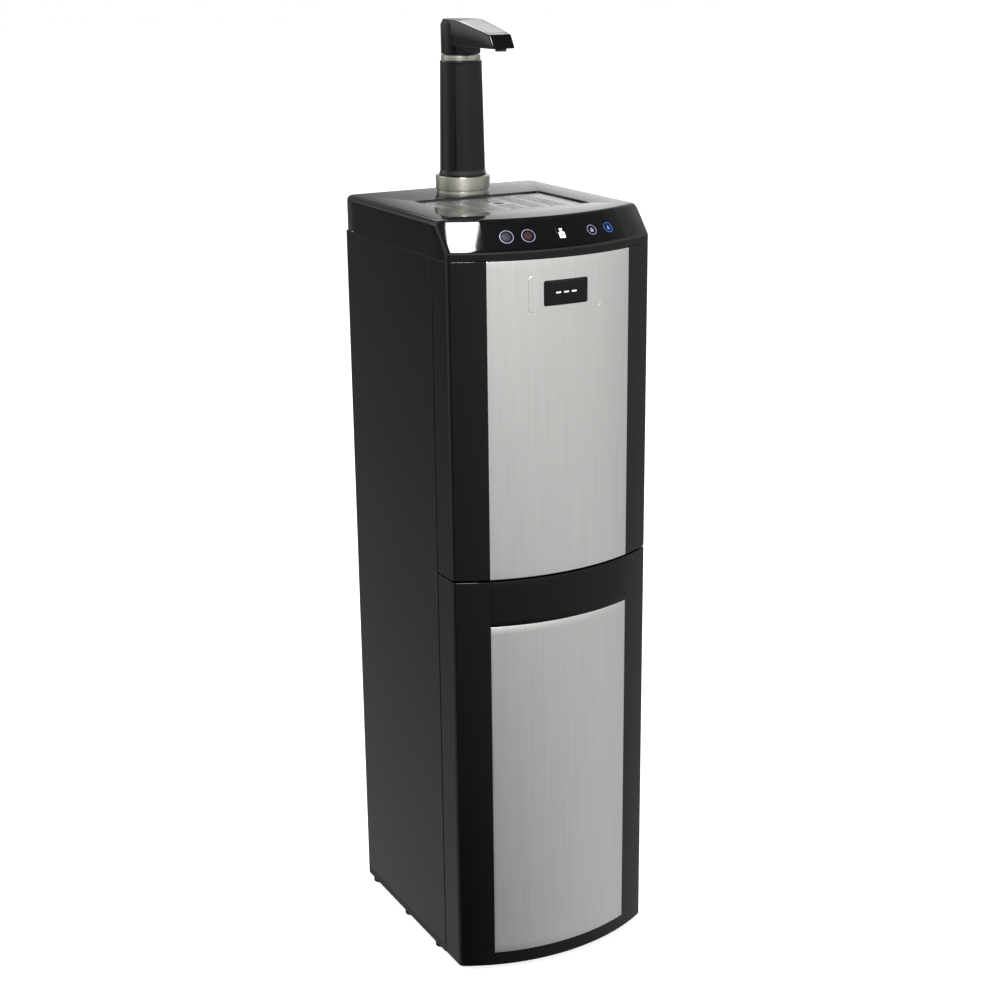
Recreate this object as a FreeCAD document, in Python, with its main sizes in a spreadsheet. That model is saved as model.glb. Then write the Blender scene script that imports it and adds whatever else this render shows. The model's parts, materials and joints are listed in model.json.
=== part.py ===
"""Floor-standing bottom-loading water dispenser with a spout tower on its top cover.

Frame: +Z up, the front faces -Y, the origin is the bottom centre of the whole dispenser.
The front is one shallow bow: an arc through both pillars and the crown of the stainless panels.
"""
import FreeCAD, Part
import math
import os
import re
import Sketcher
from FreeCAD import Placement, Rotation, Vector

# ---------------------------------------------------------------- driving dimensions
SIZES = (
    ("cabinet_width", 310, "over the side panels"),
    ("body_depth", 322, "front pillars to the back edge"),
    ("front_bow", 41, "crown of the front before the pillars"),
    ("cabinet_height", 1096, "floor to the top of the cover"),
    ("cap_height", 50, "height of the top cover"),
    ("split_height", 606, "seam between door and fascia"),
    ("return_depth", 45.5, "side returns of door and fascia"),
    ("seam_gap", 2.5, "open seam round the door"),
    ("door_lift", 8, "floor to the underside of the door"),
    ("corner_radius", 9, "upright corners of the front"),
    ("shell_wall", 3, "moulded walls"),
    ("sheet_wall", 1, "steel sheet"),
    ("sheet_flange", 8, "folded edges of the sheet panels"),
    ("steel_half_width", 109, "half the width of the stainless panels"),
    ("steel_skin", 1, "stainless panels"),
    ("rail_height", 28.6, "floor to the foot of the lower stainless"),
    ("strip_height", 66, "gloss strip over the lower stainless"),
    ("base_height", 30, "floor to the bay floor"),
    ("foot_height", 7, "rubber feet"),
    ("foot_radius", 8, "rubber feet"),
    ("side_foot", 19, "floor to the side panels, above the skirt of the base"),
    ("bay_half_width", 147, "half the width of the bottle bay"),
    ("bay_depth", 217, "bay floor from its front edge to the rear wall"),
    ("bay_wall", 2, "bay lining"),
    ("rear_inset", 30, "rear panel behind the back edge"),
    ("slope_drop", 39, "height of the sloped front of the cover"),
    ("slope_setback", 30, "how far the slope leans back"),
    ("cap_edge_radius", 8, "rounded long edges of the cover"),
    ("panel_half_width", 104, "half the width of the control panel"),
    ("panel_thick", 2.5, "control panel"),
    ("fit_gap", 0.4, "clearance round parts that drop in"),
    ("button_drop", 22, "button centres under the top of the cover"),
    ("large_button_radius", 10, "cold and hot buttons"),
    ("small_button_radius", 8, "lock and pour buttons"),
    ("inner_button_place", 48, "centre line to the inner buttons"),
    ("outer_button_place", 77, "centre line to the outer buttons"),
    ("button_length", 7, "button caps"),
    ("button_proud", 1, "caps above the panel"),
    ("badge_width", 66, "dark window in the upper stainless"),
    ("badge_height", 33, "dark window in the upper stainless"),
    ("badge_drop", 97, "window centre under the top of the cover"),
    ("recess_half_width", 100, "tray recess"),
    ("recess_front", 76, "tray recess before the origin"),
    ("recess_back", 68, "tray recess behind the origin"),
    ("recess_depth", 28, "tray recess"),
    ("tray_wall", 2, "drip tray"),
    ("grille_thick", 1.5, "drip grille plate"),
    ("grille_drop", 3, "grille top under the cover top"),
    ("grille_hole_radius", 7, "round drains in the grille"),
    ("grille_rim", 8, "plain border of the grille at its sides and back"),
    ("grille_front_rim", 20, "plain border of the grille at its front"),
    ("drain_spread", 20, "centre line to the two front drains"),
    ("drain_inset", 9, "front edge of the recess to the two front drains"),
    ("middle_drain_place", 5, "middle drain behind the origin"),
    ("slot_pitch", 9, "between grille slots"),
    ("slot_width", 3.2, "grille slots"),
    ("slot_length", 26, "grille slots"),
    ("slot_bridge", 5, "metal between slot ends"),
    ("tower_place", 113, "tower axis behind the origin"),
    ("flange_radius", 39, "tower flange"),
    ("flange_height", 25.5, "tower flange"),
    ("column_foot_radius", 32.4, "column at the flange"),
    ("column_top_radius", 29.7, "column at the collar"),
    ("column_height", 160, "column above the flange"),
    ("column_bore", 24, "inside of the column"),
    ("collar_radius", 28, "metal collar on the column"),
    ("collar_height", 7.5, "metal collar"),
    ("neck_radius", 28, "round neck of the spout head"),
    ("neck_gap", 1.2, "between collar and neck"),
    ("head_height", 48, "neck foot to the top of the head"),
    ("neck_height", 12, "neck below the spout arm"),
    ("arm_reach", 129, "tower axis to the tip"),
    ("arm_tip_half_width", 17.3, "half the width of the tip"),
    ("arm_root_half_width", 24, "half the width over the neck"),
    ("tip_drop", 17, "top of the tip under the top of the head"),
    ("tip_rake", 12, "top edge of the tip behind its foot"),
    ("nozzle_reach", 119, "tower axis to the nozzle"),
    ("nozzle_radius", 7.8, "outlet nozzle"),
    ("nozzle_bore", 4.5, "outlet nozzle"),
    ("nozzle_proud", 3.6, "nozzle under the arm"),
    ("hinge_inset_side", 10, "hinge axis from the side"),
    ("hinge_inset_front", 32, "hinge axis before the door returns"),
    ("hinge_pin_radius", 4, "hinge pins"),
    ("bush_wall", 2.5, "hinge bushes"),
    ("running_fit", 0.05, "pin in bush, radial"),
    ("compressor_radius", 62, "compressor shell"),
    ("compressor_height", 150, "compressor shell"),
    ("hot_tank_radius", 50, "hot tank"),
    ("hot_tank_height", 165, "hot tank"),
    ("cold_tank_radius", 68, "cold tank"),
    ("cold_tank_height", 180, "cold tank"),
    ("tank_wall", 1.5, "steel of both tanks"),
    ("jacket_wall", 18, "foam round the cold tank"),
    ("coil_radius", 3.2, "evaporator tube"),
    ("condenser_tube_radius", 2.4, "condenser tube"),
    ("condenser_half_width", 118, "condenser"),
    ("condenser_pitch", 36, "between condenser runs"),
    ("wire_radius", 0.8, "condenser wires"),
    ("water_tube_radius", 4, "silicone water tubes"),
    ("probe_cap_radius", 27, "cap of the bottle probe"),
    ("probe_cap_height", 40, "cap of the bottle probe"),
    ("probe_tube_radius", 6, "rigid tube of the bottle probe"),
    ("probe_tube_length", 400, "rigid tube of the bottle probe"),
)

document = FreeCAD.newDocument("water_dispenser")
sheet = document.addObject("Spreadsheet::Sheet", "sizes")
for row, (alias, value, meaning) in enumerate(SIZES, start=1):
    sheet.set(f"A{row}", meaning)
    sheet.set(f"B{row}", str(value))
    sheet.setAlias(f"B{row}", alias)
document.recompute()
ALIASES = {alias for alias, _, _ in SIZES}


def size(alias):
    """A driving dimension as a number, for the few shapes worked out in code."""
    return float(getattr(sheet, alias))


def named(expression):
    """The expression with every alias written as a cell of the sheet."""
    return re.sub(r"[a-z_]+", lambda word: "sizes." + word[0] if word[0] in ALIASES else word[0],
                  str(expression))


# Places that many pieces share, as expressions of the driving dimensions.
FRONT = "(0 - (front_bow + body_depth)/2)"
PILLAR = "((front_bow - body_depth)/2)"
BACK = "((front_bow + body_depth)/2)"
HALF = "(cabinet_width/2)"
BOW_RADIUS = "((cabinet_width^2/4 + front_bow^2)/(2*front_bow))"
BOW_CENTRE = f"({FRONT} + {BOW_RADIUS})"
RETURN_END = f"({PILLAR} + return_depth)"
BODY_FRONT = f"({RETURN_END} + seam_gap)"
CAP_FOOT = "(cabinet_height - cap_height)"
DOOR_TOP = "(split_height - seam_gap/2)"
FASCIA_FOOT = "(split_height + seam_gap/2)"
STRIP_FOOT = f"({DOOR_TOP} - strip_height)"
REAR_PANEL = f"({BACK} - rear_inset)"
BAY_BACK = f"({BODY_FRONT} + bay_depth)"
DECK_TOP = f"({FASCIA_FOOT} + 2*sheet_wall)"
SLOPE_FOOT = "(cabinet_height - slope_drop)"
BUTTON_HEIGHT = "(cabinet_height - button_drop)"
BADGE_CENTRE = "(cabinet_height - badge_drop)"
FLANGE_TOP = "(cabinet_height + flange_height)"
COLLAR_FOOT = f"({FLANGE_TOP} + column_height)"
NECK_FOOT = f"({COLLAR_FOOT} + collar_height + neck_gap)"
ARM_FOOT = f"({NECK_FOOT} + neck_height)"
HEAD_TOP = f"({NECK_FOOT} + head_height)"
HINGE_X = f"({HALF} - hinge_inset_side)"
HINGE_Y = f"({RETURN_END} - hinge_inset_front)"

X_AXIS = Rotation(Vector(0, 1, 0), 90)
Y_AXIS = Rotation(Vector(1, 0, 0), -90)
TURNS = {"X": X_AXIS, "Y": Y_AXIS, "Z": Rotation()}
parts = []


# ---------------------------------------------------------------- how pieces are made
def bind(item, **expressions):
    """Tie properties of an item to expressions of the sheet."""
    for name, expression in expressions.items():
        item.setExpression(name, named(expression))
    return item


def put(item, x, y, z, turn=None):
    """Turn an item, then tie the three coordinates of its place."""
    item.Placement = Placement(Vector(), turn or Rotation())
    for axis, expression in zip("xyz", (x, y, z)):
        item.setExpression(f".Placement.Base.{axis}", named(expression))
    return item


def block(x, y, z):
    """A box between the low and high expressions of each axis."""
    item = document.addObject("Part::Box", "block")
    bind(item, Length=f"({x[1]}) - ({x[0]})", Width=f"({y[1]}) - ({y[0]})",
         Height=f"({z[1]}) - ({z[0]})")
    return put(item, x[0], y[0], z[0])


def rod(radius, x, y, z, length, axis="Z"):
    """A cylinder that starts at x, y, z and runs along an axis."""
    item = document.addObject("Part::Cylinder", "rod")
    bind(item, Radius=radius, Height=length)
    return put(item, x, y, z, TURNS[axis])


def frustum(low_radius, high_radius, x, y, z, length):
    """An upright cone that starts at x, y, z."""
    item = document.addObject("Part::Cone", "frustum")
    bind(item, Radius1=low_radius, Radius2=high_radius, Height=length)
    return put(item, x, y, z)


def fuse(*items):
    """One solid of several that overlap or touch."""
    item = document.addObject("Part::MultiFuse", "fuse")
    item.Shapes = list(items)
    item.Refine = True
    return item


def cut(base, *tools):
    """The base with every tool taken away."""
    item = document.addObject("Part::Cut", "cut")
    item.Base = base
    item.Tool = tools[0] if len(tools) == 1 else fuse(*tools)
    item.Refine = True
    return item


def common(first, second):
    """What two items share."""
    item = document.addObject("Part::Common", "common")
    item.Base = first
    item.Tool = second
    item.Refine = True
    return item


def group(*items):
    """Several separate solids in one piece."""
    item = document.addObject("Part::Compound", "group")
    item.Links = list(items)
    return item


def round_edges(base, alias, chosen):
    """Fillet the edges that a test picks, at the radius of a cell."""
    document.recompute()
    radius = size(alias)
    picked = [index for index, edge in enumerate(base.Shape.Edges, start=1) if chosen(edge)]
    item = document.addObject("Part::Fillet", "rounded")
    item.Base = base
    item.Edges = [(index, radius, radius) for index in picked]
    return item


def upright(edge):
    """True for a straight vertical edge."""
    low, high = edge.BoundBox.ZMin, edge.BoundBox.ZMax
    return high - low > 1 and edge.BoundBox.XLength < 0.01 and edge.BoundBox.YLength < 0.01


def front_corner(edge):
    """True for an upright edge at the outer front corners."""
    reach = size("cabinet_width")/2 - size("shell_wall")/2
    front = (size("front_bow") - size("body_depth"))/2 + size("shell_wall")
    return upright(edge) and abs(edge.BoundBox.XMin) > reach and edge.BoundBox.YMin < front


def outline(body, plane, points, offset):
    """A closed sketch of straight lines whose corners are tied to expressions."""
    sketch = body.newObject("Sketcher::SketchObject", "outline")
    origin = next(item for item in body.Origin.OriginFeatures if item.Role == plane)
    sketch.AttachmentSupport = [(origin, "")]
    sketch.MapMode = "FlatFace"
    sketch.setExpression(".AttachmentOffset.Base.z", named(offset))
    count = len(points)
    ring = [Vector(100*math.cos(2*math.pi*i/count), 100*math.sin(2*math.pi*i/count), 0)
            for i in range(count)]
    for i in range(count):
        sketch.addGeometry(Part.LineSegment(ring[i], ring[(i + 1) % count]), False)
    for i in range(count):
        sketch.addConstraint(Sketcher.Constraint("Coincident", i, 2, (i + 1) % count, 1))
    for i, (across, along) in enumerate(points):
        for kind, expression in (("DistanceX", across), ("DistanceY", along)):
            place = ring[i].x if kind == "DistanceX" else ring[i].y
            number = sketch.addConstraint(Sketcher.Constraint(kind, -1, 1, i, 1, place))
            sketch.setExpression(f"Constraints[{number}]", named(expression))
    return sketch


def prism(plane, points, low, high):
    """A padded outline: XY_Plane rises in Z, YZ_Plane runs in X, XZ_Plane runs in Y."""
    body = document.addObject("PartDesign::Body", "prism")
    offset = f"0 - ({high})" if plane == "XZ_Plane" else low
    sketch = outline(body, plane, points, offset)
    pad = body.newObject("PartDesign::Pad", "pad")
    pad.Profile = sketch
    pad.setExpression("Length", named(f"({high}) - ({low})"))
    sketch.Visibility = False
    return body


def lathe(points, x, y, z):
    """A turned solid: corners are (radius, height) pairs, the axis is upright at x, y, z."""
    body = document.addObject("PartDesign::Body", "lathe")
    sketch = outline(body, "XZ_Plane", points, "0")
    turned = body.newObject("PartDesign::Revolution", "turned")
    turned.Profile = sketch
    turned.ReferenceAxis = (sketch, ["V_Axis"])
    turned.Angle = 360
    sketch.Visibility = False
    return put(body, x, y, z)


def feature(shape):
    """A solid worked out in code from the sheet's numbers."""
    item = document.addObject("Part::Feature", "shape")
    item.Shape = shape
    item.Placement = Placement()
    return item


def part(label, item):
    """Name a finished sub-part."""
    item.Label = label
    parts.append(item)
    return item


def side(sign, near, far):
    """A low and high pair in X on the left (-1) or right (+1) side."""
    return (near, far) if sign > 0 else (f"0 - ({far})", f"0 - ({near})")


def centred(half_width):
    """A low and high pair about the centre line."""
    return (f"0 - ({half_width})", half_width)


# ---------------------------------------------------------------- the bowed front
def bowed(half_width, inset, back, z):
    """A block whose front is the bow, moved in by the inset."""
    plain = block(centred(half_width), (f"{FRONT} + {inset}", back), z)
    drum = rod(f"{BOW_RADIUS} - ({inset})", "0", BOW_CENTRE, z[0], f"({z[1]}) - ({z[0]})")
    return common(plain, drum)


def bowed_skin(half_width, outer, inner, z):
    """A sheet bent along the bow between two insets."""
    back = f"{PILLAR} + {inner}"
    return cut(bowed(half_width, outer, back, z),
               rod(f"{BOW_RADIUS} - ({inner})", "0", BOW_CENTRE, z[0], f"({z[1]}) - ({z[0]})"))


def front_shell(z, open_foot):
    """Gloss front moulding: bowed face, both pillars and the side returns."""
    outer = round_edges(bowed(HALF, "0", RETURN_END, z), "corner_radius", front_corner)
    floor = z[0] if open_foot else f"{z[0]} + shell_wall"
    return cut(outer, bowed(f"{HALF} - shell_wall", "shell_wall", f"{RETURN_END} + 1",
                            (floor, f"{z[1]} - shell_wall")))


# ---------------------------------------------------------------- cabinet
def base_plate():
    """Moulded base, open underneath: a skirt under the side panels and a plug between them."""
    skirt_z = ("foot_height", "side_foot - 0.3")
    plug_half = f"{HALF} - sheet_wall - 0.1"
    plug_y = (f"{BODY_FRONT} + sheet_wall + 0.1", f"{BACK} - sheet_wall - 0.1")
    skirt = block(centred(HALF), (BODY_FRONT, BACK), skirt_z)
    plug = plug_room()
    inner = block(centred(f"{plug_half} - shell_wall"),
                  (f"{plug_y[0]} + shell_wall", f"{plug_y[1]} - shell_wall"),
                  ("foot_height - 1", "base_height - shell_wall"))
    pads = [common(plug_room(), rod("foot_radius + 2", x, place, "foot_height",
                                    "base_height - foot_height - 1"))
            for x, place in FOOT_PLACES]
    notch = leaf_notch("foot_height - 1", "door_lift + 1")
    hollow = cut(fuse(skirt, plug), inner)
    return part("base_plate", cut(fuse(hollow, *pads), notch))


def plug_room():
    """The space of the plug between the side panels, as a tool."""
    return block(centred(f"{HALF} - sheet_wall - 0.1"),
                 (f"{BODY_FRONT} + sheet_wall + 0.1", f"{BACK} - sheet_wall - 0.1"),
                 ("foot_height", "base_height"))


FOOT_PLACES = [(f"{sign}*({HALF} - foot_radius)", place) for sign in (-1, 1)
               for place in (f"{BODY_FRONT} + 32", "45", f"{BACK} - 20")]


def leaf_notch(low, high):
    """Room for the leaf of a hinge bracket where it enters the cabinet."""
    return block((f"{HINGE_X} - 8.3", f"{HINGE_X} + 8.3"), (f"{BODY_FRONT} - 1", f"{BODY_FRONT} + 14.3"),
                 (low, high))


def feet():
    """Six rubber feet under the skirt."""
    pads = [rod("foot_radius", x, place, "0", "foot_height") for x, place in FOOT_PLACES]
    return part("feet", group(*pads))


def side_panel(label, sign):
    """Painted sheet with a folded edge at the front and at the back."""
    edge, inner, fold = HALF, f"{HALF} - sheet_wall", f"{HALF} - sheet_flange"
    z = ("side_foot", f"{CAP_FOOT} - 0.2")
    web = block(side(sign, inner, edge), (BODY_FRONT, BACK), z)
    front = block(side(sign, fold, edge), (BODY_FRONT, f"{BODY_FRONT} + sheet_wall"), z)
    back = block(side(sign, fold, edge), (f"{BACK} - sheet_wall", BACK), z)
    panel = fuse(web, front, back)
    if sign > 0:
        panel = cut(panel, leaf_notch(f"{DOOR_TOP} - 0.3", f"{FASCIA_FOOT} + 0.3"))
    return part(label, panel)


def rear_panel():
    """Sheet set in from the back edge, folded where it meets the side panels."""
    z = ("base_height", f"{CAP_FOOT} - 0.2")
    half = f"{HALF} - sheet_wall - 0.1"
    web = block(centred(half), (REAR_PANEL, f"{REAR_PANEL} + sheet_wall"), z)
    folds = [block(side(sign, f"{half} - sheet_wall", half),
                   (REAR_PANEL, f"{REAR_PANEL} + sheet_flange"), z) for sign in (-1, 1)]
    louvres = [block(side(sign, "20", "90"), (f"{REAR_PANEL} - 1", f"{REAR_PANEL} + 2*sheet_wall"),
                     (f"{DECK_TOP} + {60 + 16*step}", f"{DECK_TOP} + {66 + 16*step}"))
               for sign in (-1, 1) for step in range(9)]
    inlet = block(INLET_X, (f"{REAR_PANEL} - 1", f"{REAR_PANEL} + 2*sheet_wall"), INLET_Z)
    drain = rod("5.4", HOT_TANK[0], f"{REAR_PANEL} - 1", DRAIN_HEIGHT, "4", axis="Y")
    return part("rear_panel", cut(fuse(web, *folds), *louvres, inlet, drain))


HOT_TANK = (f"{HALF} - hot_tank_radius - 22", f"{REAR_PANEL} - hot_tank_radius - 14")
DRAIN_HEIGHT = f"({DECK_TOP} + 32)"
INLET_X = (f"{HALF} - 55", f"{HALF} - 27")
INLET_Z = (f"{FASCIA_FOOT} - 70", f"{FASCIA_FOOT} - 50")


def power_inlet():
    """Moulded appliance inlet in the rear panel, with its three pins."""
    gap = "fit_gap/2"
    wide = (f"{INLET_X[0]} + {gap}", f"{INLET_X[1]} - {gap}")
    tall = (f"{INLET_Z[0]} + {gap}", f"{INLET_Z[1]} - {gap}")
    shell = block(wide, (f"{REAR_PANEL} - 18", f"{REAR_PANEL} + sheet_wall"), tall)
    rim = block((f"{INLET_X[0]} - 5", f"{INLET_X[1]} + 5"),
                (f"{REAR_PANEL} + sheet_wall", f"{REAR_PANEL} + sheet_wall + 2.5"),
                (f"{INLET_Z[0]} - 4", f"{INLET_Z[1]} + 4"))
    socket = block((f"{wide[0]} + 2", f"{wide[1]} - 2"), (f"{REAR_PANEL} - 15", f"{REAR_PANEL} + 9"),
                   (f"{tall[0]} + 2", f"{tall[1]} - 2"))
    middle_x = f"({INLET_X[0]} + {INLET_X[1]})/2"
    middle_z = f"({INLET_Z[0]} + {INLET_Z[1]})/2"
    pins = [block((f"{middle_x} + {place} - 1", f"{middle_x} + {place} + 1"),
                  (f"{REAR_PANEL} - 17", f"{REAR_PANEL} - 1"),
                  (f"{middle_z} - 2", f"{middle_z} + 2")) for place in (-7, 0, 7)]
    return part("power_inlet", fuse(cut(fuse(shell, rim), socket), *pins))


def mid_deck():
    """Folded steel shelf between the bottle bay and the works above it."""
    half = f"{HALF} - sheet_wall - 0.1"
    y = (f"{BODY_FRONT} + sheet_wall + 0.1", f"{REAR_PANEL} - 0.1")
    plate = block(centred(half), y, (f"{DECK_TOP} - 2*sheet_wall", DECK_TOP))
    lip = block(centred(half), (y[0], f"{y[0]} + 2*sheet_wall"), (f"{DECK_TOP} - 14", DECK_TOP))
    hose_hole = rod("water_tube_radius + 5", "60", "0", f"{DECK_TOP} - 20", "40")
    notch = leaf_notch(f"{DOOR_TOP} - 0.3", FASCIA_FOOT)
    return part("mid_deck", cut(fuse(plate, lip), hose_hole, notch))


def bay_liner():
    """Three moulded walls round the bottle, open to the door."""
    z = ("base_height", f"{DECK_TOP} - 15")
    y = (f"{BODY_FRONT} + sheet_wall + 0.1", BAY_BACK)
    outer = block(centred("bay_half_width + bay_wall"), (y[0], f"{y[1]} + bay_wall"), z)
    inner = block(centred("bay_half_width"), (f"{y[0]} - 1", y[1]), (f"{z[0]} - 1", f"{z[1]} + 1"))
    return part("bay_liner", cut(outer, inner))


def upper_fascia():
    """Gloss front of the upper half, with a seat for the stainless panel."""
    z = (FASCIA_FOOT, f"{CAP_FOOT} - 0.3")
    shell = front_shell(z, open_foot=False)
    seat = bowed_skin("steel_half_width + fit_gap", "0 - 1", "steel_skin",
                      (f"{FASCIA_FOOT} - 1", f"{z[1]} + 1"))
    window = block(centred("badge_width/2 + fit_gap"), (f"{FRONT} - 1", f"{PILLAR} - 10"),
                   (f"{BADGE_CENTRE} - badge_height/2 - fit_gap", f"{BADGE_CENTRE} + badge_height/2 + fit_gap"))
    return part("upper_fascia", cut(shell, seat, window))


def upper_steel_panel():
    """Brushed stainless sheet bent to the bow, pierced for the badge window."""
    skin = bowed_skin("steel_half_width", "0", "steel_skin - 0.05",
                      (f"{FASCIA_FOOT} + 0.5", f"{CAP_FOOT} - 1"))
    window = block(centred("badge_width/2 + fit_gap"), (f"{FRONT} - 1", f"{PILLAR} - 10"),
                   (f"{BADGE_CENTRE} - badge_height/2 - fit_gap", f"{BADGE_CENTRE} + badge_height/2 + fit_gap"))
    return part("upper_steel_panel", cut(skin, window))


def badge_window():
    """Dark lens that fills the window, flush with the stainless."""
    lens = bowed_skin("badge_width/2", "0", "shell_wall",
                      (f"{BADGE_CENTRE} - badge_height/2", f"{BADGE_CENTRE} + badge_height/2"))
    return part("badge_window", lens)


# ---------------------------------------------------------------- top cover and controls
def cap_body(inset, low, high):
    """The cover's outline: upright below, leaning back along the slope at the front."""
    half = f"{HALF} - {inset}"
    plain = block(centred(half), (f"{FRONT} + {inset}", f"{BACK} - {inset}"), (low, high))
    drum = rod(f"{BOW_RADIUS} - ({inset})", "0", BOW_CENTRE, low, f"{SLOPE_FOOT} - ({low})")
    lean = frustum(f"{BOW_RADIUS} - ({inset})", f"{BOW_RADIUS} - ({inset}) - slope_setback",
                   "0", BOW_CENTRE, SLOPE_FOOT, "slope_drop")
    return common(plain, fuse(drum, lean))


def slope_slab(half_width, outer, inner):
    """A plate bent along the slope between two insets."""
    def cone(inset):
        return frustum(f"{BOW_RADIUS} - ({inset})", f"{BOW_RADIUS} - ({inset}) - slope_setback",
                       "0", BOW_CENTRE, SLOPE_FOOT, "slope_drop")
    window = block(centred(half_width), (f"{FRONT} - 5", f"{PILLAR} + slope_setback + 10"),
                   (f"{SLOPE_FOOT} + 3", "cabinet_height - 3"))
    return common(window, cut(cone(outer), cone(inner)))


def cap_edge(edge):
    """True for the long top edges at the sides and the upright rear corners."""
    box = edge.BoundBox
    reach = size("cabinet_width")/2 - 1
    long_top = box.ZMin > size("cabinet_height") - 1 and abs(box.XMin) > reach and box.XLength < 0.01
    rear = upright(edge) and abs(box.XMin) > reach and box.YMin > 0
    return long_top or rear


def top_cover():
    """One gloss moulding: rounded sides, sloped front and the well for the drip tray."""
    outer = round_edges(cap_body("0", CAP_FOOT, "cabinet_height"), "cap_edge_radius", cap_edge)
    hollow = cap_body("shell_wall", f"{CAP_FOOT} - 1", "cabinet_height - shell_wall")
    well_x = centred("recess_half_width + shell_wall")
    well_y = ("0 - recess_front - shell_wall", "recess_back + shell_wall")
    well = block(well_x, well_y, ("cabinet_height - recess_depth - shell_wall", "cabinet_height - 1"))
    recess = block(centred("recess_half_width"), ("0 - recess_front", "recess_back"),
                   ("cabinet_height - recess_depth", "cabinet_height + 1"))
    seat = slope_slab("panel_half_width + fit_gap", "0 - 2", "panel_thick + fit_gap/2")
    board_gap = block(centred("panel_half_width - 4"), (f"{FRONT}", f"{PILLAR} + slope_setback + 6"),
                      (f"{SLOPE_FOOT} + 6", "cabinet_height - 7"))
    hose_hole = rod("column_bore - 6", "0", "tower_place", "cabinet_height - 10", "20")
    shell = fuse(cut(outer, hollow), well)
    return part("top_cover", cut(shell, recess, seat, board_gap, hose_hole))


SLOPE_ANGLE = math.degrees(math.atan2(size("slope_setback"), size("slope_drop")))
BUTTONS = (
    ("cold_button", -1, "outer_button_place", "large_button_radius"),
    ("hot_button", -1, "inner_button_place", "large_button_radius"),
    ("lock_button", 1, "inner_button_place", "small_button_radius"),
    ("pour_button", 1, "outer_button_place", "small_button_radius"),
)


def on_slope(item, place, lift):
    """Stand an item on the slope: its own +Z becomes the slope's outward normal.

    The slope is a cone about the bow's axis, so a place x across turns the normal by
    the angle asin(x / local radius) about that axis.
    """
    rise = "(slope_drop - button_drop)"
    radius = f"({BOW_RADIUS} - slope_setback*{rise}/slope_drop)"
    swing = f"asin(({place})/{radius})"
    tilt = "atan(slope_setback/slope_drop)"
    reach = f"({radius} + ({lift})*cos({tilt}))"
    item.setExpression(".Placement.Base.x", named(f"{reach}*sin({swing})"))
    item.setExpression(".Placement.Base.y", named(f"{BOW_CENTRE} - {reach}*cos({swing})"))
    item.setExpression(".Placement.Base.z", named(f"{BUTTON_HEIGHT} + ({lift})*sin({tilt})"))
    where = math.degrees(math.asin(place_now(place)/slope_radius()))
    item.Placement.Rotation = Rotation(Vector(0, 0, 1), where) * Rotation(
        Vector(1, 0, 0), 90 - SLOPE_ANGLE)
    return item


def slope_radius():
    """The radius of the slope at the height of the buttons, as a number."""
    half, bow = size("cabinet_width")/2, size("front_bow")
    rise = size("slope_drop") - size("button_drop")
    return (half**2 + bow**2)/(2*bow) - size("slope_setback")*rise/size("slope_drop")


def place_now(place):
    """A signed place such as '-1*outer_button_place' as a number."""
    sign, _, alias = place.partition("*")
    return float(sign)*(size(alias) if alias in ALIASES else 0.0)


def button(label, sign, place, radius):
    """Sprung cap that slides along the slope's normal."""
    cap = document.addObject("Part::Cylinder", "cap")
    bind(cap, Radius=radius, Height="button_length")
    return part(label, on_slope(cap, f"{sign}*{place}", "button_proud - button_length"))


def control_panel():
    """Gloss insert on the slope, bored for the four buttons and the bottle light."""
    plate = slope_slab("panel_half_width", "0 - 0.4", "panel_thick")
    bores = []
    for _, sign, place, radius in BUTTONS:
        bore = document.addObject("Part::Cylinder", "bore")
        bind(bore, Radius=f"{radius} + fit_gap", Height="3*button_length")
        bores.append(on_slope(bore, f"{sign}*{place}", "0 - 2*button_length"))
    window = block(centred("7 + fit_gap/2"), (f"{FRONT} - 5", f"{PILLAR} + slope_setback"),
                   (f"{BUTTON_HEIGHT} - 7 - fit_gap/2", f"{BUTTON_HEIGHT} + 8 + fit_gap/2"))
    return part("control_panel", cut(plate, *bores, window))


def bottle_light():
    """Clear window of the empty-bottle light."""
    slab = slope_slab("7", "0 - 0.5", "panel_thick")
    window = block(centred("7"), (f"{FRONT} - 5", f"{PILLAR} + slope_setback"),
                   (f"{BUTTON_HEIGHT} - 7", f"{BUTTON_HEIGHT} + 8"))
    return part("bottle_light", common(slab, window))


def control_board():
    """Circuit board behind the control panel."""
    board = document.addObject("Part::Box", "board")
    bind(board, Length="2*panel_half_width - 20", Width="36", Height="1.6")
    board.setExpression(".Placement.Base.x", named("10 - panel_half_width"))
    board.setExpression(".Placement.Base.y", named(f"{FRONT} + 30"))
    board.setExpression(".Placement.Base.z", named(f"{SLOPE_FOOT} - 8"))
    board.Placement.Rotation = Rotation(Vector(1, 0, 0), 90 - SLOPE_ANGLE)
    return part("control_board", board)


# ---------------------------------------------------------------- drip tray and grille
def drip_tray():
    """Shallow basin that drops into the well of the cover."""
    half = "recess_half_width - fit_gap"
    y = ("fit_gap - recess_front", "recess_back - fit_gap")
    z = ("cabinet_height - recess_depth + fit_gap", "cabinet_height - grille_drop - grille_thick - fit_gap")
    outer = block(centred(half), y, z)
    inner = block(centred(f"{half} - tray_wall"), (f"{y[0]} + tray_wall", f"{y[1]} - tray_wall"),
                  (f"{z[0]} + tray_wall", "cabinet_height"))
    return part("drip_tray", cut(outer, inner))


def drip_grille():
    """Stainless plate with rows of wavy slots and three round drains."""
    half = "recess_half_width - fit_gap"
    z = ("cabinet_height - grille_drop - grille_thick", "cabinet_height - grille_drop")
    plate = block(centred(half), ("fit_gap - recess_front", "recess_back - fit_gap"), z)
    drains = [rod("grille_hole_radius", x, y, f"{z[0]} - 1", "5") for x, y in GRILLE_DRAINS]
    return part("drip_grille", cut(plate, *drains, feature(grille_slots())))


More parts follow.
